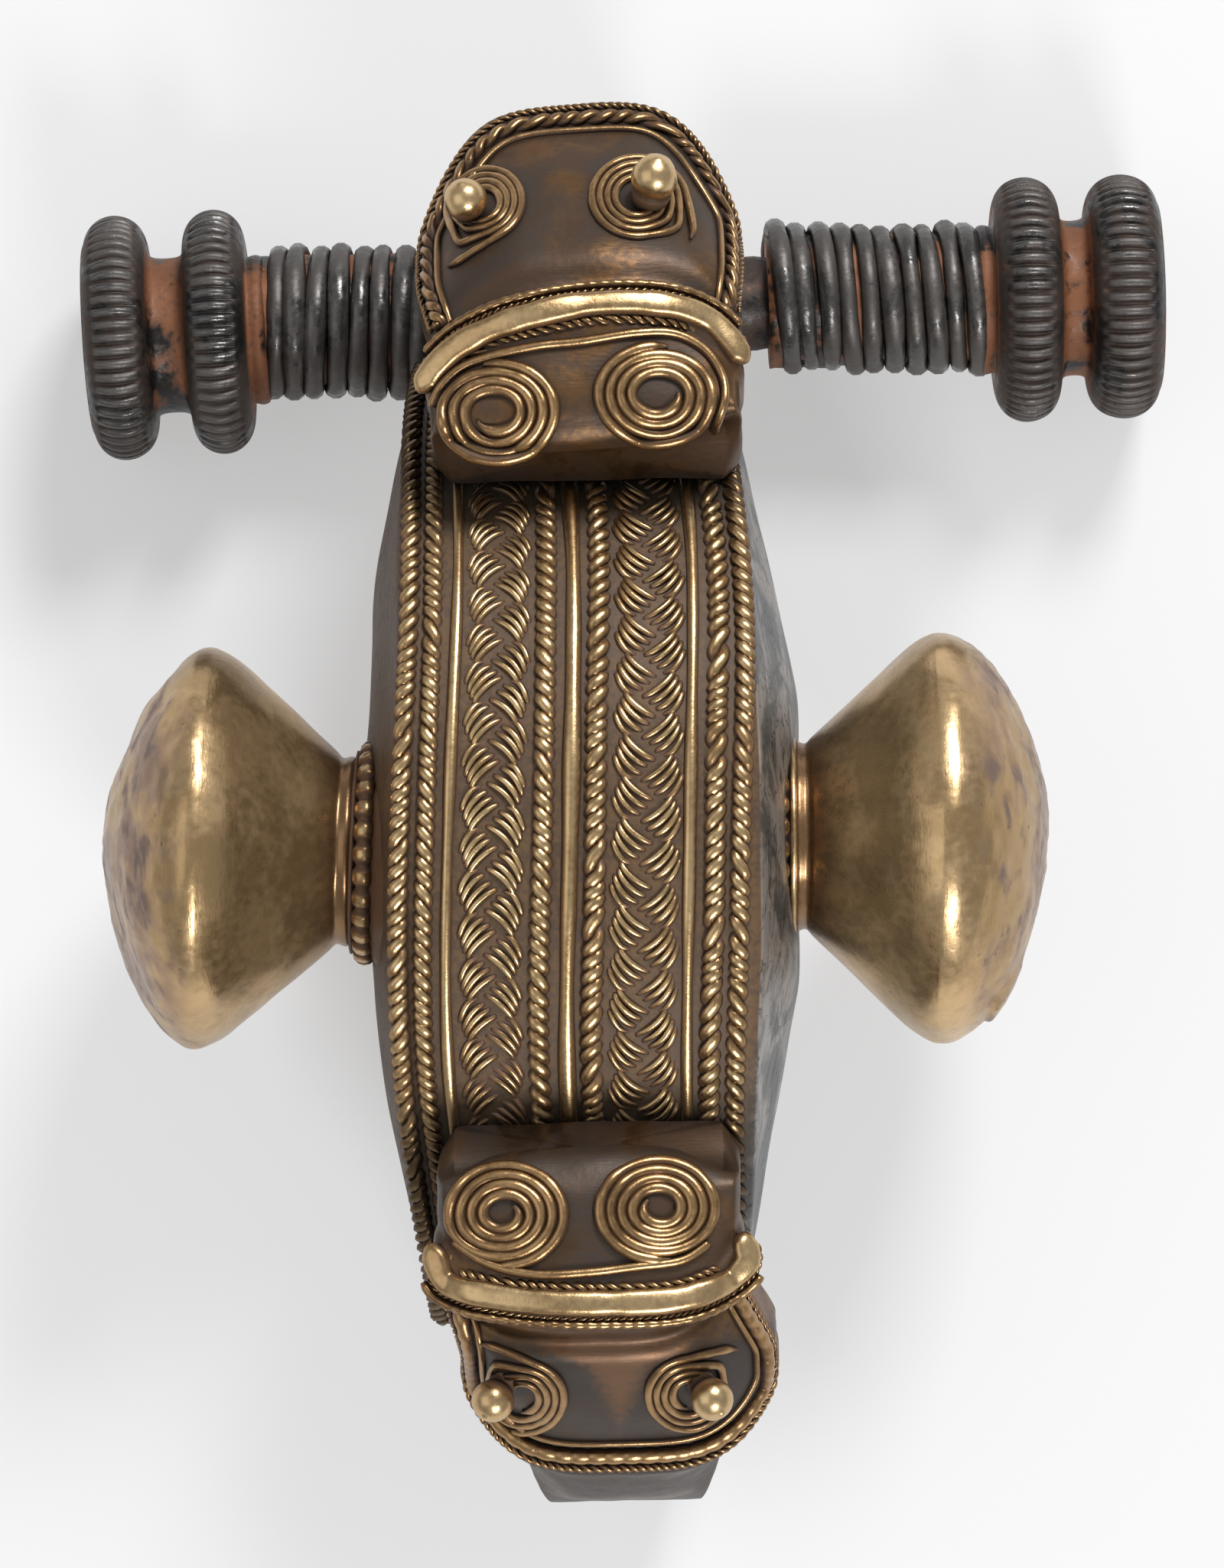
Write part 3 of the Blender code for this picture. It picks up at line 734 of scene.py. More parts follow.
@dataclass(frozen=True)
class WireGold:
    """Soldered wirework: rubbed gold on the tops, matt brown in the hollows, and painted shade in its crevices."""

    name: str = "wire gold"
    bright: Colour = (0.60, 0.43, 0.225)
    mellow: Colour = (0.33, 0.20, 0.092)
    ground: Colour = (0.125, 0.066, 0.036)
    # Dark colour for painted shade in crevices, and for dirt near the snouts.
    shade_and_dirt: Colour = (0.026, 0.014, 0.008)
    soot: float = 0.0

    def material(self) -> bpy.types.Material:
        """Builds the material."""
        shader = Shader(self.name)
        relief = shader.attribute("relief")
        fine = shader.noise(3.2, 4)
        broad = shader.noise(0.22, 3, 0.4)
        open_to = shader.hollow(0.55)
        rubbed = (relief + 0.55 * (fine - 0.5) + 0.5 * (broad - 0.5)).rise(0.42, 0.82)
        top = (relief + 0.6 * (broad - 0.5) + 0.3 * (fine - 0.5)).rise(0.72, 1.12)
        # Painted shade: where ambient occlusion finds a crevice, the colour is darkened.
        crevice_shade = 1.0 - open_to.rise(0.12, 0.62)
        colour = shader.mixed(rubbed, self.ground, self.mellow)
        colour = shader.mixed(top, colour, self.bright)
        # Painted shade mixed into the crevices.
        colour = shader.mixed(0.85 * crevice_shade, colour, self.shade_and_dirt)
        if self.soot:
            near = (shader.axis("Y").maths("ABSOLUTE") + 3.0 * (broad - 0.5)).rise(12.0, 16.5)
            colour = shader.mixed(self.soot * near, colour, self.shade_and_dirt)
        grain = shader.noise(9.0, 3)
        shader.bump(0.5 * grain + 0.5 * fine, 0.03, 0.5)
        return shader.dress(
            Base_Color=colour,
            Metallic=0.35 + 0.6 * rubbed,
            Roughness=0.60 - 0.30 * rubbed + 0.16 * (fine - 0.5),
        )


@dataclass(frozen=True)
class SheetGold:
    """Sheet gold under a thin grey-brown patina, with warm rubbed patches and painted shade in its crevices."""

    name: str
    warm: Colour = (0.165, 0.088, 0.038)
    ground: Colour = (0.072, 0.040, 0.022)
    grey: Colour = (0.042, 0.039, 0.036)
    # Dark colour for painted shade in crevices.
    shade_and_dirt: Colour = (0.018, 0.012, 0.009)
    copper: Colour = (0.18, 0.090, 0.042)
    grey_amount: float = 0.5

    def material(self) -> bpy.types.Material:
        """Builds the material."""
        shader = Shader(self.name)
        fine = shader.noise(2.6, 5)
        broad = shader.noise(0.28, 3, 0.6)
        blotch = shader.noise(0.16, 2, 0.8)
        open_to = shader.hollow(1.3)
        # Painted shade: crevices found by ambient occlusion are darkened and made rougher.
        crevice_shade = 1.0 - open_to.rise(0.25, 0.8)
        warm = (broad + 0.35 * (fine - 0.5)).rise(0.46, 0.66)
        grey = (blotch + 0.25 * (fine - 0.5)).rise(0.50, 0.62) * self.grey_amount
        colour = shader.mixed(warm, self.ground, self.warm)
        colour = shader.mixed(grey, colour, self.grey)
        across, along = (shader.axis("X") - 1.4).maths("ABSOLUTE"), shader.axis("Y")
        plate = along.rise(-24.2, -25.2) * (1.0 - grey)
        colour = shader.mixed(0.75 * plate, colour, self.grey)
        wedge = 0.55 * (along + 29.2) + 1.6 * along.rise(-26.0, -25.2) + 1.2 * (fine - 0.5) - across
        colour = shader.mixed(0.7 * wedge.rise(-0.2, 1.1) * along.rise(-24.2, -25.0), colour, self.copper)
        # Painted shade mixed into the crevices.
        colour = shader.mixed(0.85 * crevice_shade, colour, self.shade_and_dirt)
        scratch = shader.noise(1.4, 4, 0.2, (1.0, 6.0, 1.0))
        shader.bump(0.6 * fine + 0.4 * scratch, 0.05, 0.45)
        return shader.dress(
            Base_Color=colour,
            Metallic=0.55 + 0.35 * warm,
            Roughness=0.46 - 0.10 * warm + 0.14 * (fine - 0.5) + 0.12 * crevice_shade,
        )


@dataclass(frozen=True)
class FlankGold:
    """The bow's skin: brown under the band, grey and silvery on its right flank, with fine cracks and painted shade in
    its crevices.
    """

    name: str = "flank gold"
    ground: Colour = (0.122, 0.068, 0.029)
    brown: Colour = (0.080, 0.047, 0.026)
    silver: Colour = (0.27, 0.25, 0.235)
    slate: Colour = (0.075, 0.080, 0.082)
    soot: Colour = (0.020, 0.019, 0.011)
    # Dark colour for the fine cracks and for painted shade in crevices.
    shade_and_dirt: Colour = (0.020, 0.014, 0.010)

    def material(self) -> bpy.types.Material:
        """Builds the material."""
        shader = Shader(self.name)
        fine = shader.noise(3.0, 4)
        broad = shader.noise(0.30, 4, 0.8)
        crack = shader.noise(0.8, 4, 1.2, (1.0, 0.35, 1.0))
        cracked = 1.0 - (crack - 0.5).maths("ABSOLUTE").rise(0.004, 0.022)
        up = shader.facing("Z")
        side = 1.0 - up.rise(0.55, 0.85)
        right = side * shader.axis("X").rise(2.0, 6.0)
        open_to = shader.hollow(1.2)
        # Painted shade: crevices found by ambient occlusion are darkened.
        crevice_shade = 1.0 - open_to.rise(0.2, 0.75)
        mottled = shader.mixed((fine + 0.6 * (broad - 0.5)).rise(0.36, 0.66), self.brown, self.ground)
        colour = shader.mixed(side, mottled, self.brown)
        silvery = shader.mixed((broad + 0.2 * (fine - 0.5)).rise(0.42, 0.6), self.slate, self.silver)
        colour = shader.mixed(right, colour, silvery)
        colour = shader.mixed(0.8 * cracked * side, colour, self.shade_and_dirt)
        # Painted shade mixed into the crevices.
        colour = shader.mixed(0.85 * crevice_shade, colour, self.shade_and_dirt)
        soot = (shader.axis("Y").maths("ABSOLUTE") + 3.0 * (broad - 0.5)).rise(12.0, 16.0)
        colour = shader.mixed(0.8 * soot * (1.0 - side), colour, self.soot)
        shader.bump(0.7 * fine - 0.5 * cracked * side, 0.06, 0.5)
        return shader.dress(
            Base_Color=colour,
            Metallic=0.35 - 0.15 * side + 0.35 * right,
            Roughness=0.58 - 0.20 * right + 0.14 * (fine - 0.5),
        )


@dataclass(frozen=True)
class KnobGold:
    """Smooth rubbed gold, olive to brown, with pinkish stains and pits on the dome."""

    name: str = "knob gold"
    bright: Colour = (0.62, 0.425, 0.22)
    olive: Colour = (0.39, 0.26, 0.125)
    pink: Colour = (0.26, 0.170, 0.118)
    grey: Colour = (0.15, 0.105, 0.092)
    rust: Colour = (0.17, 0.085, 0.040)

    def material(self) -> bpy.types.Material:
        """Builds the material."""
        shader = Shader(self.name)
        fine = shader.noise(2.2, 5)
        broad = shader.noise(0.20, 3, 0.5)
        spots = shader.noise(0.9, 4, 0.4, (1.0, 0.45, 1.0))
        out = shader.axis("X").maths("ABSOLUTE")
        dome = out.rise(17.6, 20.2)
        root = 1.0 - out.rise(11.0, 13.2)
        colour = shader.mixed((broad + 0.3 * (fine - 0.5)).rise(0.38, 0.64), self.olive, self.bright)
        colour = shader.mixed(dome * (broad + 0.4 * (spots - 0.5)).rise(0.36, 0.6), colour, self.pink)
        stained = (spots + 0.2 * (fine - 0.5)).rise(0.50, 0.72) * (0.2 + 0.8 * dome)
        colour = shader.mixed(0.85 * stained, colour, self.grey)
        colour = shader.mixed(0.8 * root, colour, self.rust)
        pitted = shader.pits(1.1, 0.16) * (0.25 + 0.75 * dome) * shader.noise(0.35, 2).rise(0.5, 0.6)
        colour = shader.mixed(0.8 * pitted, colour, self.grey)
        scratch = shader.noise(2.0, 3, 0.1, (5.0, 1.0, 1.0))
        shader.bump(0.6 * fine + 0.35 * scratch - 0.8 * pitted, 0.06, 0.4)
        return shader.dress(
            Base_Color=colour,
            Metallic=0.86 - 0.3 * stained,
            Roughness=0.28 + 0.18 * (fine - 0.5) + 0.20 * stained + 0.06 * dome,
        )


@dataclass(frozen=True)
class OldIron:
    """Near-black iron with grey rubbed ridges and orange rust in its hollows."""

    name: str
    dark: Colour = (0.025, 0.023, 0.022)
    grey: Colour = (0.075, 0.080, 0.084)
    crest: Colour = (0.13, 0.125, 0.12)
    rust: Colour = (0.22, 0.078, 0.026)
    brown: Colour = (0.062, 0.036, 0.023)
    rust_amount: float = 0.8

    def material(self) -> bpy.types.Material:
        """Builds the material."""
        shader = Shader(self.name)
        relief = shader.attribute("relief")
        fine = shader.noise(2.4, 5)
        broad = shader.noise(0.30, 3, 0.8)
        low = 1.0 - (relief + 0.6 * (fine - 0.5)).rise(0.30, 0.62)
        rusty = (broad + 0.3 * (fine - 0.5)).rise(0.38, 0.54) * self.rust_amount
        colour = shader.mixed((broad + 0.5 * (fine - 0.5)).rise(0.35, 0.7), self.dark, self.grey)
        colour = shader.mixed(0.8 * rusty, colour, self.brown)
        colour = shader.mixed(low * rusty, colour, self.rust)
        crest = relief.rise(0.8, 1.0)
        shader.bump(fine, 0.08, 0.6)
        return shader.dress(
            Base_Color=shader.mixed(0.6 * crest, colour, self.crest),
            Metallic=0.75 - 0.6 * low * rusty,
            Roughness=0.38 + 0.2 * (fine - 0.5) + 0.3 * rusty - 0.12 * crest,
        )


@dataclass(frozen=True)
class Finishes:
    """Every material of the brooch, built once."""

    wire: bpy.types.Material = field(default_factory=lambda: WireGold().material())
    band: bpy.types.Material = field(default_factory=lambda: WireGold("band wire gold", soot=0.8).material())
    worn: bpy.types.Material = field(
        default_factory=lambda: WireGold(
            "worn wire gold", (0.41, 0.255, 0.12), (0.205, 0.115, 0.053), (0.070, 0.038, 0.021)
        ).material()
    )
    flank: bpy.types.Material = field(default_factory=lambda: FlankGold().material())
    head: bpy.types.Material = field(default_factory=lambda: SheetGold("head sheet gold").material())
    base: bpy.types.Material = field(
        default_factory=lambda: SheetGold(
            "base sheet gold", (0.30, 0.22, 0.15), (0.12, 0.095, 0.075), (0.17, 0.18, 0.20), grey_amount=0.8
        ).material()
    )
    knob: bpy.types.Material = field(default_factory=lambda: KnobGold().material())
    iron: bpy.types.Material = field(default_factory=lambda: OldIron("crossbar iron").material())
    pin: bpy.types.Material = field(default_factory=lambda: OldIron("pin iron", rust_amount=0.9).material())


@dataclass
class Bow:
    """The arched bow: its skin, and the ropes, wires and plaits along its band."""

    finishes: Finishes
    radius: float = 25.0
    centre: float = 1.6
    sweep: float = math.radians(70.0)
    depth: float = 16.5
    end_depth: float = 4.4
    half: float = 8.4
    end_half: float = 7.3
    crown: float = 0.3
    bulge: float = 2.3
    flank_sweep: float = math.radians(75.0)
    slant: float = 0.045
    ropes: tuple[tuple[float, float, float, Lay], ...] = (
        (-8.18, 1.00, 0.74, Lay.SLASH), (-7.02, 0.94, 0.66, Lay.BACKSLASH), (-1.60, 1.04, 0.72, Lay.BACKSLASH),
        (0.86, 1.10, 0.76, Lay.SLASH), (6.46, 1.08, 0.76, Lay.SLASH), (7.68, 1.00, 0.72, Lay.BACKSLASH),
    )
    wires: tuple[tuple[float, float], ...] = ((-5.92, 0.57), (-0.32, 0.80), (5.30, 0.60))
    plaits: tuple[tuple[float, float, int], ...] = ((-3.88, 3.05, 1), (3.26, 3.35, -1))
    stitch: float = 1.96

    def half_at(self, angle: Array | float) -> Array | float:
        """Half the band's width at an angle from the crest."""
        share = np.abs(angle) / self.sweep
        return self.end_half + (self.half - self.end_half) * (1.0 - share**2)

    def on_band(self, across: Array, angle: Array, rise: Array | float = 0.0) -> Array:
        """Points on the band.

        Args:
            across: Place across the band, as it would be at the crest.
            angle: Angle from the crest.
            rise: Height over the band.

        Returns:
            The points.
        """
        across = np.asarray(across, float)
        rise = np.asarray(rise, float) + self.crown * (1.0 - (across / self.half) ** 2)
        reach = (self.radius + rise) * np.sin(angle)
        height = self.centre + (self.radius + rise) * np.cos(angle)
        aside = self.slant * reach * np.exp(-((reach / 16.0) ** 4))
        return np.stack(np.broadcast_arrays(across * self.half_at(angle) / self.half + aside, reach, height), -1)

    def course(self, across: Array, angle: Array, rise: Array | float = 0.0) -> Course:
        """A course on the band; the arguments are those of on_band."""
        across, angle = np.broadcast_arrays(np.asarray(across, float), np.asarray(angle, float))
        lean = 2.0 * self.crown * across / self.half**2
        normals = np.stack([lean, np.sin(angle), np.cos(angle)], -1)
        normals /= np.linalg.norm(normals, axis=1, keepdims=True)
        return Course(self.on_band(across, angle, rise), normals)

    def section(self, angle: float) -> Array:
        """The skin's cross-section at an angle from the crest.

        Args:
            angle: The angle.

        Returns:
            Points (x, rise over the arc), once round.
        """
        half = float(self.half_at(angle))
        share = abs(angle) / self.sweep
        bulge = self.bulge * (1.0 - (angle / self.flank_sweep) ** 2)
        depth = self.end_depth + (self.depth - self.end_depth) * math.cos(share * math.pi / 2) ** 1.2
        top = [(half * x, self.crown * (1.0 - x**2)) for x in np.linspace(-0.985, 0.985, 21)]
        flank = curved(
            [(0.0, 0.012), (0.30, 0.20), (0.72, 0.45), (1.0, 0.72), (0.85, 0.90), (0.2, 1.0)], 5
        )
        right = [(half + bulge * out, -depth * down) for out, down in flank]
        return np.array(top + right + [(-x, y) for x, y in reversed(right)])

    def make_skin(self) -> None:
        """Builds the bow's body, with the dents of old sheet in its flanks."""
        stations = np.linspace(-self.sweep, self.sweep, 97)
        rows = []
        for angle in stations:
            section = self.section(float(angle))
            radius = self.radius + section[:, 1]
            rows.append(
                np.stack([section[:, 0], radius * math.sin(angle), self.centre + radius * math.cos(angle)], -1)
            )
        grid = np.array(rows)
        flat = grid.reshape(-1, 3)
        side = smooth_step(7.6, 9.4, np.abs(flat[:, 0]))
        flat[:, 0] += np.sign(flat[:, 0]) * side * roughened(flat, 0.22, 0.16, 3.0)
        flat[:, 0] += side * (0.42 * (1.0 - smooth_step(5.0, 15.0, np.abs(flat[:, 1]))) - 0.08)
        off = np.hypot(flat[:, 1] + 0.8, flat[:, 2] - 15.6)
        flat[:, 0] -= side * 0.35 * (1.0 - smooth_step(3.5, 7.5, off)) * (flat[:, 0] > 0)
        draft = Draft("bow_skin")
        draft.grid(flat.reshape(grid.shape), 0.0)
        draft.piece(self.finishes.flank, Slot.BOW, replaces=["bow"], recalculated=True)

    def make_ropes(self) -> None:
        """Builds the twisted ropes and plain wires along the band."""
        draft = Draft("band_ropes")
        reach = self.sweep - math.radians(1.5)
        angles = np.linspace(-reach, reach, 240)
        for number, (middle, width, pitch, lay) in enumerate(self.ropes):
            wander = 0.05 * np.sin(angles * (5.0 + number) + number)
            course = self.course(middle + wander, angles, 0.02)
            draft.rope(course, 0.5 * width, pitch, lay, squash=0.84, flat=0.62)
        for number, (middle, width) in enumerate(self.wires):
            wander = 0.06 * np.sin(angles * (3.5 + number) + 2.0 * number)
            ground = self.course(middle + wander, angles)
            swell = 1.0 + 0.10 * np.sin(angles * 9.0 + number) + 0.06 * np.sin(angles * 23.0)
            draft.wire(ground.moved(0.0, 0.03), 0.5 * width * swell, 0.4 * width * swell, 10, ground, (-0.1, 0.75))
        draft.piece(self.finishes.band, Slot.BOW)

    def make_plaits(self) -> None:
        """Builds the two plaits: groups of fine wires that cross from both sides in turn."""
        draft = Draft("band_plaits")
        scatter = random.Random(5)
        for middle, width, way in self.plaits:
            count = int(2 * self.radius * self.sweep / self.stitch)
            for number in range(count):
                along = (number + 0.5) / count * 2 * self.sweep - self.sweep
                for side in (-1, 1):
                    offset = 0.0 if side < 0 else 0.5 * self.stitch / self.radius
                    self._stitch(draft, middle, width / 2.9, way, side, along + offset, scatter)
        draft.piece(self.finishes.band, Slot.BOW)

    def _stitch(
        self, draft: Draft, middle: float, size: float, way: int, side: int, angle: float, scatter: random.Random
    ) -> None:
        """Adds one stitch: four fine wires that rise from the plait's edge and dive under past its middle.

        Args:
            draft: The piece to add to.
            middle: The plait's middle across the band.
            size: Its width as a share of the left plait's.
            way: 1 where the stitches meet upwards, -1 where they meet downwards.
            side: -1 for a stitch from the left, 1 for one from the right.
            angle: Its angle from the crest.
            scatter: Source of small unevenness.
        """
        if abs(angle) > self.sweep - 0.06:
            return
        worn = float(smooth_step(math.radians(18), math.radians(36), -angle)) if middle < 0 else 0.0
        lift = scatter.uniform(-0.03, 0.02) - 0.07 * worn
        skew = scatter.uniform(-0.05, 0.05)
        for strand in range(4):
            step = 0.31 * strand
            short = 0.10 if strand == 3 else 0.0
            line = curved(
                [
                    (-0.24 + 0.86 * step, 0.14 + 1.05 * step - short),
                    (0.16 + 0.82 * step, -0.08 + 1.02 * step),
                    (0.56 + 0.66 * step, -0.42 + 0.98 * step),
                    (0.86 + 0.50 * step, -0.82 + 0.96 * step),
                    (0.98 + 0.42 * step, -1.14 + 0.98 * step + short),
                ],
                4,
            )
            share = np.linspace(0.0, 1.0, len(line))
            jitter = scatter.uniform(-0.03, 0.03)
            across = side * size * (line[:, 0] + jitter)
            along = way * (line[:, 1] - 0.12) * self.stitch / 2.0 + skew + jitter
            arch = np.sin(math.pi * (0.04 + 0.92 * share)) ** 0.7
            rise = -0.13 + lift + 0.21 * arch - (0.05 if strand == 3 else 0.0)
            angles = angle + along / self.radius
            ground = self.course(middle + across, angles)
            course = Course(self.on_band(middle + across, angles, rise), ground.normals)
            radii = (0.172 + 0.014 * scatter.uniform(-1, 1)) * (0.70 + 0.30 * arch)
            draft.wire(course, radii, None, 7, ground, (-0.1, 1.0))

    def build(self) -> None:
        """Builds the bow."""
        self.make_skin()
        self.make_ropes()
        self.make_plaits()


@dataclass
class Spiral:
    """A wire wound into a round or teardrop spiral, as plan points."""

    centre: tuple[float, float]
    radius: float
    turns: float
    start: float
    way: int
    inner: float = 0.18
    stretch: tuple[float, float] = (1.0, 1.0)
    tip: float = 0.0
    tip_reach: float = 0.0
    tip_round: float = 0.05

    def points(self, per_turn: int = 60) -> Array:
        """The spiral's plan points from its outer end inwards.

        Args:
            per_turn: Points along one turn.

        Returns:
            Points (x, y).
        """
        count = int(self.turns * per_turn)
        share = np.linspace(0.0, 1.0, count)
        angle = self.start + self.way * math.tau * self.turns * share
        radius = self.radius * (1.0 - (1.0 - self.inner) * share)
        if self.tip_reach:
            off = (angle - self.tip + math.pi) % math.tau - math.pi
            flare = np.arccos(1.0 / (1.0 + self.tip_reach * (1.0 - share) ** 2.5))
            near = np.maximum(flare - np.sqrt(off**2 + self.tip_round**2) + self.tip_round, 0.0)
            radius = radius / np.cos(near)
        x = self.centre[0] + self.stretch[0] * radius * np.cos(angle)
        y = self.centre[1] + self.stretch[1] * radius * np.sin(angle)
        return np.stack([x, y], -1)


@dataclass(frozen=True)
class HeadShape:
    """Sizes of one animal head, as in the solids: reaches from the bow's middle, half widths and drops."""

    name: str
    side: int
    snout_front: float
    ridge: float
    rim: float
    rim_drop: float
    snout_half: float
    saddle_half: float
    plate_half: float
    ridge_arch: float
    rim_arch: float
    saddle_run: float
    base_reach: float
    base_half: float
    snout_shift: float
    plate_shift: float
    base_shift: float
    turn: float
    top: float = 26.4
    base_top: float = 10.0
    ridge_width: float = 1.3
    saddle_dip: float = 1.6
    strap: float = 2.1
    snout_thickness: float = 3.6
    edge: float = 1.2
    rim_round: float = 1.1
    plate_swell: float = 0.3
    plate_crown: float = 1.1
    arch_power: float = 3.9
    wall_power: float = 0.6
    widening: float = 0.5
    crown_power: float = 2.2


@dataclass
class Stud:
    """A domed peg in an eye: its foot in plan, its size and how far it stands out."""

    at: tuple[float, float]
    radius: float
    length: float
    lean: tuple[float, float] = (0.0, 0.0)
    dented: bool = False


@dataclass
class HeadWork:
    """The wires and pegs on one head, as plan points in millimetres."""

    nostrils: tuple[Spiral, ...]
    link: tuple[tuple[float, float], ...]
    bar: tuple[tuple[float, float], ...]
    eyes: tuple[Spiral, ...]
    studs: tuple[Stud, ...]


class Head:
    """One animal head: the bent strap, its base, and the wires and pegs on it."""

    LOOP = (
        (-0.97, 0.03), (-0.93, 0.0), (-0.85, 0.0), (-0.75, 0.0), (-0.55, 0.0), (-0.28, 0.0), (0.0, 0.0), (0.28, 0.0),
        (0.55, 0.0), (0.75, 0.0), (0.85, 0.0), (0.93, 0.0), (0.97, 0.03), (1.0, 0.22), (1.0, 0.84), (0.94, 1.0),
        (0.5, 1.0), (0.0, 1.0), (-0.5, 1.0), (-0.94, 1.0), (-1.0, 0.84), (-1.0, 0.22),
    )

    def __init__(self, shape: HeadShape, work: HeadWork, bow: Bow, finishes: Finishes) -> None:
        """Keeps the sizes.

        Args:
            shape: The strap's sizes.
            work: What is soldered on it.
            bow: The bow that the snout rests on.
            finishes: The materials.
        """
        self.shape = shape
        self.work = work
        self.bow = bow
        self.finishes = finishes
        self.tree: BVHTree | None = None

    def plate_line(self) -> tuple[Vector, Vector, Vector]:
        """The eye plate's inner end, outer end and normal in the side view."""
        shape = self.shape
        start = Vector((shape.ridge + shape.ridge_width / 2 + shape.saddle_run, shape.top - 1.2 * shape.saddle_dip))
        end = Vector((shape.rim - shape.rim_round, shape.top - shape.rim_drop + 0.2 * shape.rim_round))
        run = (end - start).normalized()
        return start, end, Vector((-run.y, run.x))

    def plate_rib(self, share: float) -> tuple[Vector, float, float, float, float]:
        """One rib of the eye plate.

        Args:
            share: The rib's share of the plate's run.

        Returns:
            Its outer point, half width, arch, crown and shift.
        """
        shape = self.shape
        start, end, normal = self.plate_line()
        outer = start.lerp(end, share) + normal * (shape.plate_swell * math.sin(math.pi * min(share, 1.0)))
        widened = min(1.0, max(share, 0.0) / shape.widening)
        half = shape.saddle_half + (shape.plate_half - shape.saddle_half) * widened
        bend = shape.ridge_arch + (shape.rim_arch - shape.ridge_arch) * share
        shift = shape.snout_shift + (shape.plate_shift - shape.snout_shift) * widened
        return outer, half, bend, shape.plate_crown * (1.0 - 0.4 * share), shift

    def ribs(self) -> list[tuple[Vector, Vector, float, float, float, float, float, float]]:
        """The strap's ribs from the snout to the base.

        Returns:
            For each rib its outer and inner point, half width, outer and inner arch, crown, shift and turn.
        """
        shape = self.shape
        top, front, ridge, rim = shape.top, shape.snout_front, shape.ridge, shape.rim
        edge, crown, arch, snout = shape.edge, 0.6, shape.ridge_arch, shape.snout_half
        square = (shape.snout_shift, shape.turn)
        ribs = []
        for reach, height, inner, lift, half, bend, rise in (
            (0.2 * edge, top - edge, -0.6 * edge, 0.0, 0.89 * snout, -0.4 * arch, 1.2 * crown),
            (0.5 * edge, top - 0.45 * edge, -0.2 * edge, 0.0, 0.95 * snout, -0.28 * arch, 1.2 * crown),
            (1.1 * edge, top - 0.1 * edge, 0.3 * edge, 0.0, snout, -0.05 * arch, crown),
            (2 * edge, top + 0.1 * edge, 1.2 * edge, GAP, snout, 0.2 * arch, crown),
        ):
            level = self.bow.centre + math.sqrt((self.bow.radius + 0.98 + lift) ** 2 - (front + inner) ** 2)
            outer = Vector((front + reach, height))
            ribs.append((outer, Vector((front + inner, level)), half, bend, 0.0, rise, *square))
        low = top - shape.saddle_dip
        under = top - shape.snout_thickness
        wide = shape.ridge_width / 2
        for reach, height, inner, half, bend, rise in (
            (-wide - 1.2, top, -2.4, snout, 0.85 * arch, 0.9),
            (-wide, top, -1.4, snout, arch, 1.2),
            (0.0, top + 0.1, -0.7, shape.saddle_half + 0.2, arch, 1.4),
            (wide, top - 0.5, 0.0, shape.saddle_half + 0.1, arch, 1.4),
            (wide + 0.3 * shape.saddle_run, low, 0.5, shape.saddle_half, arch, 1.3),
        ):
            outer = Vector((ridge + reach, height))
            ribs.append((outer, Vector((ridge + inner, under)), half, bend, bend, rise, *square))
        normal = self.plate_line()[2]
        for share in (0.0, 0.35, 0.68, 0.86, 0.95, 1.0):
            outer, half, bend, rise, shift = self.plate_rib(share)
            ribs.append((outer, outer - normal * shape.strap, half, bend, bend, rise, shift, shape.turn))
        wall_to = Vector((shape.base_reach, shape.base_top))
        rim_point = Vector((rim, top - shape.rim_drop - 0.5 * shape.rim_round))
        for share in (0.0, 0.12, 0.3, 0.55, 0.8, 1.0):
            outer = rim_point.lerp(wall_to, share) + Vector((0.4 * math.sin(math.pi * share), 0.0))
            half = shape.plate_half + (shape.base_half - shape.plate_half) * share**shape.wall_power
            slope = 0.55 if share == 0.0 else 0.0
            inner = outer - Vector((shape.strap, slope * shape.strap))
            bend = shape.rim_arch * (1.0 - share) ** 1.5
            shift = shape.plate_shift + (shape.base_shift - shape.plate_shift) * share
            rise = crown * (1.0 - share)
            ribs.append((outer, inner, half, bend, bend, rise, shift, shape.turn * (1.0 - share)))
        foot = Vector((shape.base_reach - 0.1 * shape.strap, shape.base_top - 0.8 * shape.strap))
        inner = foot - Vector((shape.strap, 0.0))
        ribs.append((foot, inner, shape.base_half, 0.0, 0.0, 0.0, shape.base_shift, 0.0))
        return ribs

    def make_strap(self) -> None:
        """Builds the strap as a smooth skin through its ribs, and keeps a tree of it for the wires."""
        shape = self.shape
        table = [(*outer, *inner, *rest) for outer, inner, *rest in self.ribs()]
        loop = curved(self.LOOP, 4, True)
        across, depth = np.clip(loop[:, 0], -1.0, 1.0), np.clip(loop[:, 1], 0.0, 1.0)
        rows = []
        for out_x, out_z, in_x, in_z, half, bend_out, bend_in, crown, shift, turn in curved(table, 6):
            bend = bend_out + (bend_in - bend_out) * depth
            reach = out_x + (in_x - out_x) * depth - bend * np.abs(across) ** shape.arch_power
            reach = reach + turn * across * half * (1.0 - depth)
            height = out_z + (in_z - out_z) * depth - crown * np.abs(across) ** shape.crown_power
            rows.append(np.stack([across * half + shift, shape.side * reach, height], -1))
        draft = Draft(f"{shape.name}_strap")
        draft.grid(np.array(rows), 0.5)
        skin = draft.mesh(recalculated=True)
        self._dent(skin)
        points = np.zeros(len(skin.vertices) * 3)
        skin.vertices.foreach_get("co", points)
        faces = [list(face.vertices) for face in skin.polygons]
        self.tree = BVHTree.FromPolygons([Vector(point) for point in points.reshape(-1, 3) / MM], faces)
        settle(skin, self.finishes.head, Slot.HEAD, replaces=[f"{shape.name}_terminal"])

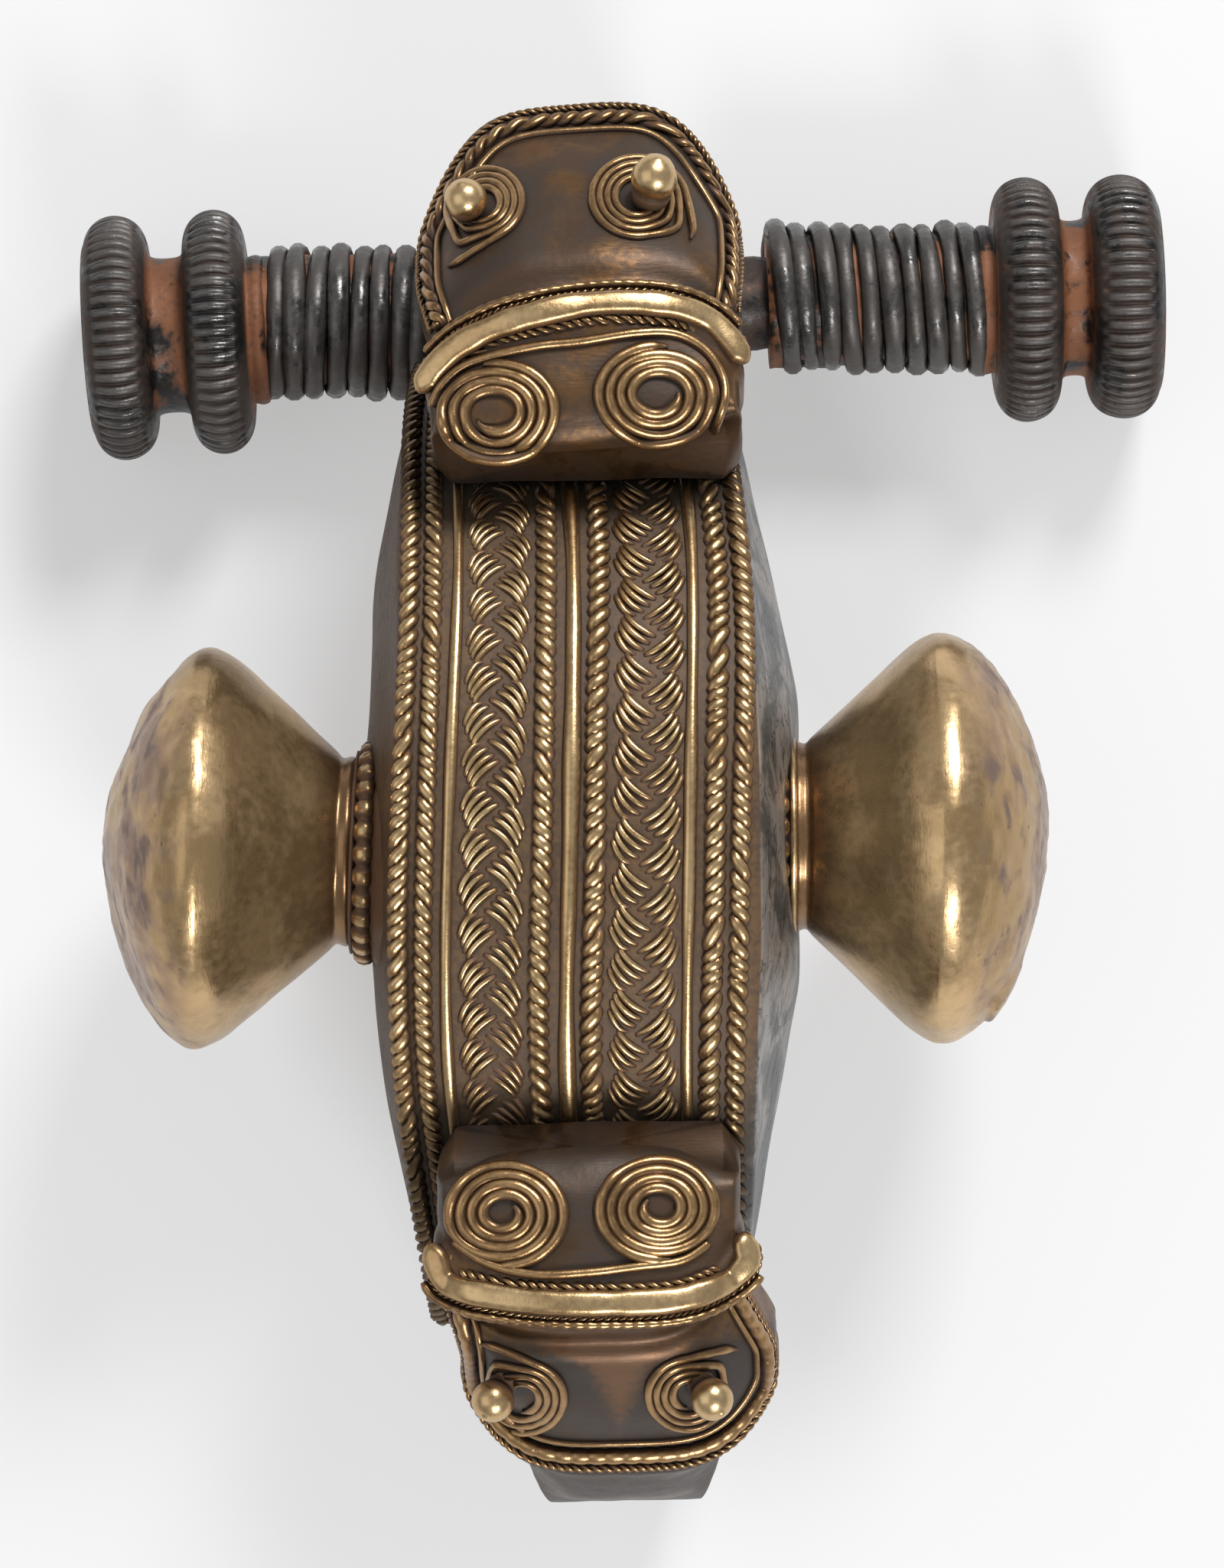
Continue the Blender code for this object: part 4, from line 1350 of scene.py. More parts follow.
    def _dent(self, skin: bpy.types.Mesh) -> None:
        """Gives the sheet the low waves of old hand work.

        Args:
            skin: The strap's mesh in metres.
        """
        points = np.zeros(len(skin.vertices) * 3)
        normals = np.zeros(len(skin.vertices) * 3)
        skin.vertices.foreach_get("co", points)
        skin.vertices.foreach_get("normal", normals)
        points, normals = points.reshape(-1, 3) / MM, normals.reshape(-1, 3)
        offsets = roughened(points, 0.35, 0.10, 1.0) + roughened(points, 1.1, 0.03, 7.0)
        skin.vertices.foreach_set("co", ((points + normals * offsets[:, None]) * MM).ravel())
        skin.update()

    def dropped(self, plan: Array) -> Course:
        """A course on the strap under plan points.

        Args:
            plan: Points (x, y).

        Returns:
            The course where the points, let fall, meet the strap.
        """
        points, normals = [], []
        for x, y in plan:
            hit, normal, _, _ = self.tree.ray_cast(Vector((x, y, 60.0)), Vector((0.0, 0.0, -1.0)))
            if hit is None:
                hit, normal, _, _ = self.tree.find_nearest(Vector((x, y, points[-1][2] if points else 24.0)))
            points.append(tuple(hit))
            normals.append(tuple(normal))
        normals = np.array(normals)
        for _ in range(3):
            padded = np.vstack([normals[:1], normals, normals[-1:]])
            normals = (padded[:-2] + 2 * padded[1:-1] + padded[2:]) / 4
        return Course(np.array(points), normals / np.linalg.norm(normals, axis=1, keepdims=True))

    def make_spirals(self) -> None:
        """Builds the nostril and eye spirals and the wire that joins the nostrils."""
        draft = Draft(f"{self.shape.name}_spirals")
        for spiral in self.work.nostrils:
            self._wind(draft, spiral, 0.28, 1.0)
        for spiral in self.work.eyes:
            self._wind(draft, spiral, 0.21, 9.0)
        link = self.dropped(curved(self.work.link, 10)).resampled(0.15)
        draft.wire(link.moved(0.0, 0.10), 0.24, 0.24, 8, link, (0.0, 1.2))
        draft.piece(self.finishes.worn, Slot.HEAD)

    def _wind(self, draft: Draft, spiral: Spiral, radius: float, fall: float) -> None:
        """Adds one wound wire to a draft.

        Args:
            draft: The piece to add to.
            spiral: The winding.
            radius: The wire's radius.
            fall: How far below its highest point the wire may sink over an edge.
        """
        ground = self.dropped(spiral.points())
        ground.points[:, 2] = np.maximum(ground.points[:, 2], ground.points[:, 2].max() - fall)
        ground = ground.resampled(0.12)
        lengths = ground.lengths()
        end = np.minimum(lengths, lengths[-1] - lengths)
        swell = (1.0 + roughened(ground.points, 1.2, 0.18, spiral.radius)) * (0.4 + 0.6 * smooth_step(0.0, 0.8, end))
        draft.wire(
            ground.moved(0.0, 0.40 * radius), 1.02 * radius * swell, 0.9 * radius * swell, 10, ground, (0.1, 1.1)
        )

    def make_ridge(self) -> None:
        """Builds the ridge: a thick half-round bar between a saw-tooth rope and a fine rope with a notched wire."""
        name = self.shape.name
        side = self.shape.side
        course = self.dropped(curved(self.work.bar, 8))
        course.points[:, 2] = np.maximum(course.points[:, 2], course.points[:, 2].max() - 1.5)
        for _ in range(4):
            course.points[1:-1] = (course.points[:-2] + 2 * course.points[1:-1] + course.points[2:]) / 4
        course = Course(course.points, self._levelled(course.normals)).resampled(0.15)
        lengths = course.lengths()
        end = np.minimum(lengths, lengths[-1] - lengths)
        bar = Draft(f"{name}_ridge_bar")
        full = 0.62 * np.sqrt(np.clip(0.12 + end / 0.6, 0.0, 1.0))
        uneven = 1.0 + roughened(course.points, 0.9, 0.12, 2.0)
        bar.wire(course.moved(0.0, 0.22), full * uneven, 0.86 * full * uneven, 18, course, (-0.2, 1.0), 0.60)
        bar.piece(self.finishes.wire, Slot.HEAD)
        ropes = Draft(f"{name}_ridge_ropes")
        middle = Course(course.points[5:-5], course.normals[5:-5])
        ropes.rope(middle.moved(side * 0.70, -0.14 if side > 0 else 0.02), 0.30, 0.55, Lay.SLASH, per_turn=10)
        ropes.rope(middle.moved(-side * 0.68, -0.04), 0.18, 0.36, Lay.BACKSLASH, per_turn=10)
        inner = Course(course.points[10:-10], course.normals[10:-10])
        notch = 1.0 - 0.22 * np.abs(np.cos(math.pi * inner.lengths() / 0.55)) ** 5
        ropes.wire(inner.moved(-side * 1.0, 0.02), 0.23 * notch, 0.25 * notch, 8, inner, (-0.2, 1.0))
        ropes.piece(self.finishes.worn, Slot.HEAD)

    @staticmethod
    def _levelled(normals: Array) -> Array:
        """Normals drawn halfway towards straight up, so that a thick wire doesn't roll over an edge."""
        level = normals * 0.3 + np.array([0.0, 0.0, 0.7])
        return level / np.linalg.norm(level, axis=1, keepdims=True)

    def rim_line(self, inset: float) -> Course:
        """A course up one side of the eye plate, round its rim and down the other side.

        Args:
            inset: How far inside the strap's outline it runs.

        Returns:
            The course.
        """
        shape = self.shape
        angles = np.linspace(math.pi, 0.0, 121)
        across = np.sign(np.cos(angles)) * np.abs(np.cos(angles)) ** 0.6
        reach = shape.rim - shape.rim_arch * np.abs(across) ** shape.arch_power + shape.turn * across * shape.plate_half
        plan = np.stack([across * shape.plate_half + shape.plate_shift, shape.side * reach], -1)
        sides = []
        for lean, corner in ((-1, plan[0]), (1, plan[-1])):
            side = []
            for share in (0.0, 0.25, 0.5, 0.75):
                outer, half, bend, _, shift = self.plate_rib(share)
                edge = outer.x - bend + lean * shape.turn * half
                if edge < abs(corner[1]) - 0.4:
                    side.append([lean * half + shift, shape.side * edge])
            sides.append(side)
        plan = np.vstack([sides[0], plan, sides[1][::-1]])
        lengths = np.concatenate([[0.0], np.cumsum(np.linalg.norm(np.diff(plan, axis=0), axis=1))])
        at = np.linspace(0.0, lengths[-1], 160)
        plan = np.stack([np.interp(at, lengths, plan[:, i]) for i in range(2)], 1)
        for _ in range(8):
            plan[1:-1] = (plan[:-2] + 2 * plan[1:-1] + plan[2:]) / 4
        steps = np.gradient(plan, axis=0)
        steps /= np.linalg.norm(steps, axis=1, keepdims=True)
        inwards = np.stack([steps[:, 1], -steps[:, 0]], -1) * shape.side
        slack = 1.0 - 0.30 * (1.0 - smooth_step(4.0, 9.0, shape.side * plan[:, 1] - shape.ridge))[:, None]
        course = self.dropped(plan + inset * slack * inwards)
        for _ in range(4):
            course.points[1:-1] = (course.points[:-2] + 2 * course.points[1:-1] + course.points[2:]) / 4
        return course.resampled(0.15)

    def make_rim(self) -> None:
        """Builds the wires along the eye plate's rim and down its sides."""
        draft = Draft(f"{self.shape.name}_rim_wires")
        outer = self.rim_line(0.20)
        draft.rope(outer.moved(0.0, 0.06), 0.22, 0.42, Lay.SLASH, per_turn=10)
        middle = self.rim_line(0.84)
        if self.shape.side > 0:
            draft.rope(middle.moved(0.0, 0.10), 0.42, 0.95, Lay.BACKSLASH, squash=0.85, flat=0.65, per_turn=14)
        else:
            notch = 1.0 - 0.14 * np.abs(np.cos(math.pi * middle.lengths() / 0.8)) ** 5
            draft.wire(middle.moved(0.0, 0.12), 0.40 * notch, 0.36 * notch, 12, middle, (-0.1, 1.0))
        inner = self.rim_line(1.52)
        draft.wire(inner.moved(0.0, 0.06), 0.17, 0.18, 8, inner, (0.0, 1.2))
        draft.piece(self.finishes.worn, Slot.HEAD)

    def make_studs(self) -> None:
        """Builds the domed pegs in the eyes."""
        normal = self.plate_line()[2]
        for stud, word in zip(self.work.studs, ("left", "right")):
            ground = self.dropped(np.array([stud.at]))
            up = Vector(ground.normals[0]) * 0.35 + 0.65 * Vector((0.0, self.shape.side * normal.x, normal.y))
            up = (up + Vector((stud.lean[0], stud.lean[1], 0.0))).normalized()
            place = Matrix.Translation(Vector(ground.points[0])) @ up.to_track_quat("Z", "Y").to_matrix().to_4x4()
            radius, length = stud.radius, stud.length
            waist = 0.84 if stud.dented else 0.64
            profile = [(0.7 * radius, -0.6), (waist * radius, 0.25 * length), (waist * radius, length - 1.75 * radius)]
            for step in range(0, 11):
                angle = math.radians(-50 + 140 * step / 10)
                profile.append((radius * math.cos(angle), length - radius + radius * math.sin(angle)))
            rows = Draft.turning(profile, 32)
            if stud.dented:
                below = smooth_step(0.2, -0.5, rows[..., 1])
                for cut in (0.45, 0.75, 1.05):
                    near = np.exp(-(((rows[..., 2] - length + cut) / 0.07) ** 2)) * below
                    rows = rows * (1.0 - 0.10 * near[..., None] * np.array([1.0, 1.0, 0.0]))
            draft = Draft(f"{self.shape.name}_stud_{word}")
            low = np.clip((rows[..., 2] - 0.1) / (0.6 * length), 0.0, 1.0)
            draft.grid(placed(rows, place), low)
            draft.piece(
                self.finishes.wire, Slot.HEAD, replaces=[f"{self.shape.name}_eye_{word}"], recalculated=True
            )

    def build(self) -> None:
        """Builds the head."""
        self.make_strap()
        self.make_spirals()
        self.make_ridge()
        self.make_rim()
        self.make_studs()


class Base:
    """The block at the foot of a head, cut from an outline and rounded in plan."""

    ROUNDING = (
        (-1.0, 1.0), (-0.97, 0.72), (-0.90, 0.49), (-0.8, 0.32), (-0.6, 0.15), (-0.3, 0.03), (0.0, 0.0), (0.3, 0.03),
        (0.6, 0.15), (0.8, 0.32), (0.90, 0.49), (0.97, 0.72), (1.0, 1.0),
    )

    def __init__(self, name: str, outline: Profile, side: int, half: float, shift: float, rounding: float) -> None:
        """Keeps the sizes.

        Args:
            name: The piece's name.
            outline: Points (reach, height) once round.
            side: 1 for the head at the crossbar, -1 for the foot.
            half: Half its width.
            shift: Its middle's place along X.
            rounding: How far its outer corners stand back.
        """
        self.name = name
        self.rounding = rounding
        self.outline = outline
        self.side = side
        self.half = half
        self.shift = shift
        self.cutters: list[bpy.types.Object] = []

    def cut(self, draft: Draft, place: Matrix | None = None) -> None:
        """Adds a body that is cut away.

        Args:
            draft: The body in millimetres.
            place: Where it stands.
        """
        cutter = bpy.data.objects.new(draft.name, draft.mesh(recalculated=True))
        bpy.context.scene.collection.objects.link(cutter)
        cutter.matrix_world = place or Matrix.Identity(4)
        self.cutters.append(cutter)

    def build(self, finish: bpy.types.Material) -> bpy.types.Object:
        """Builds the block.

        Args:
            finish: Its material.

        Returns:
            The piece.
        """
        mesh = bpy.data.meshes.new(f"{self.name}_cage")
        built = bmesh.new()
        out = max(y for y, _ in self.outline)
        rows = []
        for share, pull in self.ROUNDING:
            row = []
            for y, z in self.outline:
                back = pull * self.rounding * float(smooth_step(out - 4.0, out - 0.4, y))
                row.append(built.verts.new((MM * (share * self.half + self.shift), MM * self.side * (y - back), MM * z)))
            rows.append(row)
        count = len(self.outline)
        for low, high in zip(rows, rows[1:]):
            for i in range(count):
                j = (i + 1) % count
                built.faces.new((low[i], low[j], high[j], high[i]))
        built.faces.new(rows[0])
        built.faces.new(rows[-1])
        bmesh.ops.recalc_face_normals(built, faces=built.faces[:])
        built.to_mesh(mesh)
        built.free()
        block = bpy.data.objects.new(mesh.name, mesh)
        bpy.context.scene.collection.objects.link(block)
        worn = block.modifiers.new("worn edges", "BEVEL")
        worn.width = 0.6 * MM
        worn.segments = 3
        worn.angle_limit = math.radians(30)
        for cutter in self.cutters:
            taken = block.modifiers.new(cutter.name, "BOOLEAN")
            taken.operation = "DIFFERENCE"
            taken.object = cutter
            taken.solver = "EXACT"
        made = evaluated(block, self.name)
        for cutter in self.cutters:
            bpy.data.objects.remove(cutter, do_unlink=True)
        made.shade_smooth()
        made.set_sharp_from_angle(angle=math.radians(40))
        return settle(made, finish, Slot.HEAD)


@dataclass
class Knob:
    """One knob: a collar of beads against the bow's flank and the hollow double cone on it."""

    name: str
    side: int
    finishes: Finishes
    seat: float = 8.7
    shift: float = -0.3
    reach: float = -0.7
    height: float = 15.6
    collar_radius: float = 5.2
    collar_width: float = 1.25
    radius: float = 9.7
    neck: float = 4.5
    cone: float = 6.8
    dome: float = 4.8
    dome_power: float = 1.85
    shoulder: float = 0.72
    yaw: float = 0.0
    beads: int = 29

    def place(self) -> Matrix:
        """Where the knob's axis leaves the flank, pointing outwards."""
        foot = (self.side * (self.seat + GAP) + self.shift, self.reach, self.height)
        turn = Matrix.Rotation(self.yaw, 4, "Z") @ Matrix.Rotation(self.side * math.pi / 2, 4, "Y")
        return Matrix.Translation(foot) @ turn

    def profile(self) -> list[tuple[float, float]]:
        """The double cone's profile from its neck to its apex."""
        start = self.collar_width + 0.1
        cone_from = self.collar_width + GAP + 0.6
        widest = cone_from + self.cone
        points = [(self.neck - 0.15, start), (self.neck + 0.1, start + 0.35)]
        for share in np.linspace(0.0, 0.97, 22):
            turning = max(share - self.shoulder, 0.0)
            slope = 1.0 / (self.shoulder + 0.5 * (1.0 - self.shoulder) * 1.22)
            spread = slope * (share - 0.39 * turning**2 / (1.0 - self.shoulder))
            points.append((self.neck + (self.radius - self.neck) * min(spread, 1.0), cone_from + self.cone * share))
        for share in (0.995, 0.975, 0.95, 0.92, 0.88, 0.83, 0.77, 0.69, 0.6, 0.48, 0.35, 0.2, 0.08, 0.01):
            rise = self.dome * (1.0 - share**self.dome_power) ** (1.0 / self.dome_power)
            points.append((self.radius * share, widest + rise))
        return [tuple(point) for point in curved(points, 3)]

    def make_cone(self) -> None:
        """Builds the double cone with the dents, pits and the lifted patch that it has now."""
        rows = Draft.turning(self.profile(), 144)
        points = rows.reshape(-1, 3)
        outwards = points * np.array([1.0, 1.0, 0.0])
        outwards[:, 2] = 0.35 * smooth_step(9.0, 12.0, points[:, 2]) * self.radius
        outwards /= np.maximum(np.linalg.norm(outwards, axis=1, keepdims=True), 1e-6)
        offset = roughened(points, 0.16, 0.22, 5.0 + self.side) + roughened(points, 0.6, 0.07, 2.0)
        domed = smooth_step(9.0, 10.2, points[:, 2])
        offset = offset + domed * roughened(points, 1.3, 0.09, 9.0)
        for centre, size, depth in self.dents():
            near = np.exp(-(((points - np.array(centre)) / np.array(size)) ** 2).sum(-1))
            offset = offset - depth * near
        offset = offset + self.patch(points)
        points = points + outwards * offset[:, None]
        draft = Draft(f"{self.name}_knob_skin")
        draft.grid(placed(points.reshape(rows.shape), self.place()), 1.0)
        draft.piece(self.finishes.knob, Slot.KNOB, replaces=[f"{self.name}_knob"], recalculated=True)

    def dents(self) -> tuple[tuple[Colour, Colour, float], ...]:
        """Each dent's middle and spread in the knob's own frame, and its depth."""
        if self.side < 0:
            return (
                ((0.0, 7.6, 10.6), (3.0, 1.5, 1.3), 0.62),
                ((2.0, 4.6, 12.0), (2.5, 1.4, 1.2), 0.30),
                ((3.0, -6.0, 11.5), (1.5, 2.0, 1.5), 0.18),
            )
        return (
            ((4.6, -8.4, 9.2), (0.45, 0.40, 0.45), 0.45),
            ((1.0, 7.2, 11.0), (2.0, 1.2, 1.2), 0.22),
            ((2.0, -5.0, 12.4), (2.5, 1.0, 1.0), 0.16),
        )

    def patch(self, points: Array) -> Array:
        """The thin sheet that has lifted on the right knob's dome.

        Args:
            points: The knob's points in its own frame.

        Returns:
            How far each point stands out.
        """
        if self.side < 0:
            return np.zeros(len(points))
        middle, size = np.array([-0.6, -7.0, 11.2]), np.array([2.6, 1.9, 1.6])
        off = (((points - middle) / size) ** 2).sum(-1)
        return 0.30 * (1.0 - smooth_step(0.80, 1.0, off)) * (0.4 + 0.6 * smooth_step(-6.0, -8.2, points[:, 1]))

    def make_collar(self) -> None:
        """Builds the collar: a low mound of solder, a ring of beads and a plain ring."""
        place = self.place()
        draft = Draft(f"{self.name}_collar_rings")
        mound = curved(
            [(0.5, -1.2), (6.4, -1.1), (6.1, -0.3), (5.5, 0.25), (4.9, 0.6), (4.6, 1.1), (4.6, 1.55), (0.5, 1.6)], 5
        )
        rows = Draft.turning([tuple(point) for point in mound], 72)
        bumpy = rows.reshape(-1, 3)
        out = bumpy * np.array([1.0, 1.0, 0.0])
        out /= np.maximum(np.linalg.norm(out, axis=1, keepdims=True), 1e-6)
        bumpy = bumpy + out * roughened(bumpy, 0.9, 0.22, 4.0)[:, None]
        draft.grid(placed(bumpy.reshape(rows.shape), place), 0.12)
        beads_at, ring_at = (0.80, -0.05) if self.side < 0 else (0.74, 1.48)
        self._ring(draft, place, 4.82, beads_at, 0.60, self.beads)
        self._ring(draft, place, 4.72 if self.side > 0 else 5.1, ring_at, 0.22, 0)
        draft.piece(self.finishes.wire, Slot.BOW, replaces=[f"{self.name}_collar"], recalculated=True)

    @staticmethod
    def _ring(draft: Draft, place: Matrix, radius: float, height: float, thick: float, beads: int) -> None:
        """Adds a ring, notched into beads if it has any.

        Args:
            draft: The piece to add to.
            place: Where its axis stands.
            radius: The ring's radius.
            height: Its place along the axis.
            thick: The wire's radius.
            beads: How many beads, or 0 for a plain wire.
        """
        steps = max(90, beads * 10)
        around = np.linspace(0.0, math.tau, steps, endpoint=False)
        notch = np.abs(np.cos(0.5 * beads * around)) if beads else np.zeros(steps)
        girth = thick * (1.0 - 0.34 * notch**5) if beads else np.full(steps, thick)
        tube = np.linspace(0.0, math.tau, 12, endpoint=False)
        out = radius + girth[:, None] * np.cos(tube)[None]
        rows = np.stack(
            [
                out * np.cos(around)[:, None], out * np.sin(around)[:, None],
                height + girth[:, None] * np.sin(tube)[None] * (0.95 if beads else 1.0),
            ],
            -1,
        )
        proud = (0.5 + 0.5 * np.cos(tube))[None] * (1.0 - 0.8 * notch[:, None] ** 3)
        draft.grid(placed(rows, place), proud, ring=True)

    def build(self) -> None:
        """Builds the knob."""
        self.make_collar()
        self.make_cone()


@dataclass
class Crossbar:
    """The iron crossbar: its axle, the wound wire on each side, and the milled discs at both ends."""

    finishes: Finishes
    shift: float = 2.6
    reach: float = 26.9
    height: float = 5.6
    yaw: float = math.radians(1.0)
    axle: float = 2.3
    spool_from: float = 18.4
    disc_radius: float = 6.08
    core: float = 3.95
    ribs: int = 54
    coils: tuple[tuple[str, int, float, float], ...] = (("left", -1, 9.2, 1.2), ("right", 1, 7.1, 1.16))

    def place(self, side: int = 1, extra: float = 0.0) -> Matrix:
        """The crossbar's axis with Z pointing out along one side."""
        turn = Matrix.Rotation(self.yaw + extra, 4, "Z") @ Matrix.Rotation(side * math.pi / 2, 4, "Y")
        return Matrix.Translation((self.shift, self.reach, self.height)) @ turn

    def make_axle(self) -> None:
        """Builds the rough iron core."""
        rows = Draft.turning([(self.axle - 0.05, z) for z in np.linspace(-21.5, 21.5, 120)], 28)
        points = rows.reshape(-1, 3)
        out = points * np.array([1.0, 1.0, 0.0]) / self.axle
        points = points + out * roughened(points, 0.8, 0.22, 3.0)[:, None]
        draft = Draft("axle_core")
        draft.grid(placed(points.reshape(rows.shape), self.place()), 0.62)
        draft.piece(self.finishes.iron, Slot.IRON, replaces=["crossbar"], recalculated=True)

    def make_coil(self, word: str, side: int, start: float, pitch: float) -> None:
        """Builds one wound wire over a rusted sleeve.

        Args:
            word: Which side, for the name.
            side: -1 for the left, 1 for the right.
            start: Where it starts along the axis.
            pitch: Distance between turns.
        """
        end = self.spool_from - 0.05
        turns = (end - start) / pitch
        count = int(turns * 40)
        share = np.linspace(0.0, 1.0, count)
        angle = math.tau * turns * share * (1 if side > 0 else -1) + 0.6
        along = start + 0.5 * pitch + (end - start - pitch) * share
        wobble = np.array([noise.noise(Vector((a * 0.35, b * 0.6, side))) for a, b in zip(angle, along)])
        if side > 0:
            waist = 0.22 * (1.0 - smooth_step(0.0, 0.16, share)) + 0.30 * np.exp(-((share - 0.97) / 0.05) ** 2) * (
                0.5 - 0.5 * np.sin(angle)
            )
        else:
            waist = 0.16 * (1.0 - smooth_step(0.05, 0.4, share)) + 0.10
        radius = 3.26 + waist + 0.26 * wobble
        thick = 0.50 + 0.17 * np.array([noise.noise(Vector((b * 1.3, 1.6 * math.cos(a), side))) for a, b in zip(angle, along)])
        points = np.stack([radius * np.cos(angle), radius * np.sin(angle), along + 0.20 * wobble], -1)
        out = np.stack([np.cos(angle), np.sin(angle), np.zeros(count)], -1)
        place = self.place(side)
        turn = np.array(place)[:3, :3]
        course = Course(placed(points, place), out @ turn.T)
        course.points[:, 1] += (0.35 if side > 0 else -0.3) * (1.0 - smooth_step(0.0, 0.6, share))
        draft = Draft(f"{word}_coil_wire")
        ground = Course(course.points - course.normals * 0.5, course.normals)
        draft.wire(course, thick * 1.06, thick, 10, ground, (0.3, 1.2))
        sleeve = Draft.turning([(3.22, z) for z in np.linspace(start + 0.2, end, 40)], 48)
        flat = sleeve.reshape(-1, 3)
        offset = roughened(flat, 1.1, 0.2, 6.0)
        flat = flat + flat * np.array([1.0, 1.0, 0.0]) / 3.22 * offset[:, None]
        draft.grid(placed(flat.reshape(sleeve.shape), place), 0.25)
        draft.piece(self.finishes.iron, Slot.IRON, replaces=[f"{word}_coil"], recalculated=True)

    def make_spool(self, word: str, side: int) -> None:
        """Builds the two milled discs at one end.

        Args:
            word: Which side, for the name.
            side: -1 for the left, 1 for the right.
        """
        inner = self.spool_from + 0.15
        first, groove, last = (3.1, 1.75, 3.2) if side < 0 else (3.3, 1.35, 3.6)
        outer = inner + first + groove
        profile = [(2.4, inner - 0.9), (3.5, inner - 0.85), (3.75, inner - 0.5), (3.7, inner)]
        profile += self._disc(inner, first)
        profile += [(self.core, inner + first + 0.15), (self.core - 0.1, outer - 0.5 * groove), (self.core, outer - 0.15)]
        profile += self._disc(outer, last)
        profile += [(2.2, outer + last - 0.45), (0.4, outer + last - 0.4)]
        fine = curved(profile, 3)
        rows = Draft.turning([tuple(point) for point in fine], self.ribs * 8)
        radius = np.hypot(rows[..., 0], rows[..., 1])
        around = np.arctan2(rows[..., 1], rows[..., 0])
        wave = np.abs(np.cos(0.5 * self.ribs * around + 0.35 * np.sin(3 * around)))
        rim = smooth_step(self.disc_radius - 0.62, self.disc_radius - 0.12, radius)
        cut = 0.30 * rim * wave**4
        scale = 1.0 - cut / np.maximum(radius, 0.1)
        rows = rows * np.stack([scale, scale, np.ones_like(scale)], -1)
        flat = rows.reshape(-1, 3)
        out = flat * np.array([1.0, 1.0, 0.0]) / self.disc_radius
        flat = flat + out * roughened(flat, 0.3, 0.10, 8.0)[:, None]
        rows = flat.reshape(rows.shape)
        near = smooth_step(self.core + 0.2, self.core + 1.2, radius)
        relief = np.clip((0.32 if side < 0 else 0.2) + 0.4 * near + 0.4 * rim * (1.0 - wave**4), 0.0, 1.0)
        place = self.place(side, math.radians(1.2) if side < 0 else math.radians(-0.8))
        world = placed(rows, place)
        world[..., 2] = np.maximum(world[..., 2], 0.02)
        draft = Draft(f"{word}_spool_discs")
        draft.grid(world, relief)
        draft.piece(self.finishes.iron, Slot.IRON, replaces=[f"{word}_spool"], recalculated=True)

    def _disc(self, low: float, width: float) -> list[tuple[float, float]]:
        """One disc's rounded rim, as profile points."""
        half, middle = width / 2, low + width / 2
        points = []
        for step in range(17):
            angle = math.radians(-84 + 168 * step / 16)
            swell = math.cos(angle) ** 0.72
            points.append((self.core + (self.disc_radius - self.core) * swell, middle + half * math.sin(angle)))
        return points

    def build(self) -> None:
        """Builds the crossbar."""
        self.make_axle()
        for word, side, start, pitch in self.coils:
            self.make_coil(word, side, start, pitch)
            self.make_spool(word, side)


@dataclass
class Fastening:
    """The pin on the axle and the catch under the foot."""

    finishes: Finishes
    bore: float = 2.6
    wall: float = 0.9
    half: float = 1.1
    sidestep: float = 2.6

    def make_pin(self) -> None:
        """Builds the pin: a ring round the axle and a tapered shank."""
        yaw = math.radians(1.0)
        centre = Vector((0.0, 26.9 - 2.6 * math.tan(yaw), 5.6))
        place = Matrix.Translation(centre) @ Matrix.Rotation(yaw, 4, "Z") @ Matrix.Rotation(math.pi / 2, 4, "Y")
        draft = Draft("pin_wire")
        loop = curved(
            [
                (self.bore + self.wall, -0.6 * self.half), (self.bore + self.wall, 0.6 * self.half),
                (self.bore + 0.7 * self.wall, self.half), (self.bore + 0.15 * self.wall, 0.9 * self.half),
                (self.bore, 0.5 * self.half), (self.bore, -0.5 * self.half),
                (self.bore + 0.15 * self.wall, -0.9 * self.half), (self.bore + 0.7 * self.wall, -self.half),
            ],
            3, True,
        )
        rows = Draft.turning([tuple(point) for point in loop], 64)
        draft.grid(placed(rows, place), 0.8, ends=False, ring=True)
        root = Vector((0.0, centre.y, centre.z - self.bore - 0.6 * self.wall))
        tip = Vector((-self.sidestep, -28.9, 1.4))
        share = np.linspace(0.0, 1.0, 60)
        points = np.array([list(root.lerp(tip, float(s))) for s in share])
        normals = np.tile([0.0, 0.0, 1.0], (60, 1))
        course = Course(points, normals)
        radii = np.interp(share, [0.0, 0.35, 0.7, 0.94, 1.0], [0.65, 0.65, 0.55, 0.3, 0.08])
        radii = radii * (1.0 + roughened(points, 0.5, 0.06, 1.0))
        draft.wire(course, radii, None, 14, course, (-1.0, 1.0))
        draft.piece(self.finishes.pin, Slot.PIN, Body.PIN, ["pin"], recalculated=True)

    def make_catch(self) -> None:
        """Builds the catch: a plate with its lower edge turned up."""
        line = curved([(1.1, 3.3), (1.1, 1.2), (0.95, 0.6), (0.4, 0.4), (-0.4, 0.4), (-0.95, 0.6), (-1.1, 1.3)], 5)
        steps = np.gradient(line, axis=0)
        steps /= np.linalg.norm(steps, axis=1, keepdims=True)
        across = np.stack([-steps[:, 1], steps[:, 0]], -1) * 0.38
        loop = np.vstack([line + across, (line - across)[::-1]])
        loop[:, 1] = np.maximum(loop[:, 1], 0.0)
        rows = []
        for reach in np.linspace(21.0, 29.0, 30):
            rows.append(np.stack([loop[:, 0], np.full(len(loop), -reach), loop[:, 1]], -1))
        draft = Draft("catch_sheet")
        draft.grid(np.array(rows), 0.6)
        draft.piece(self.finishes.base, Slot.BOW, replaces=["catch_plate"], recalculated=True)

    def build(self) -> None:
        """Builds the fastening."""
        self.make_pin()
        self.make_catch()


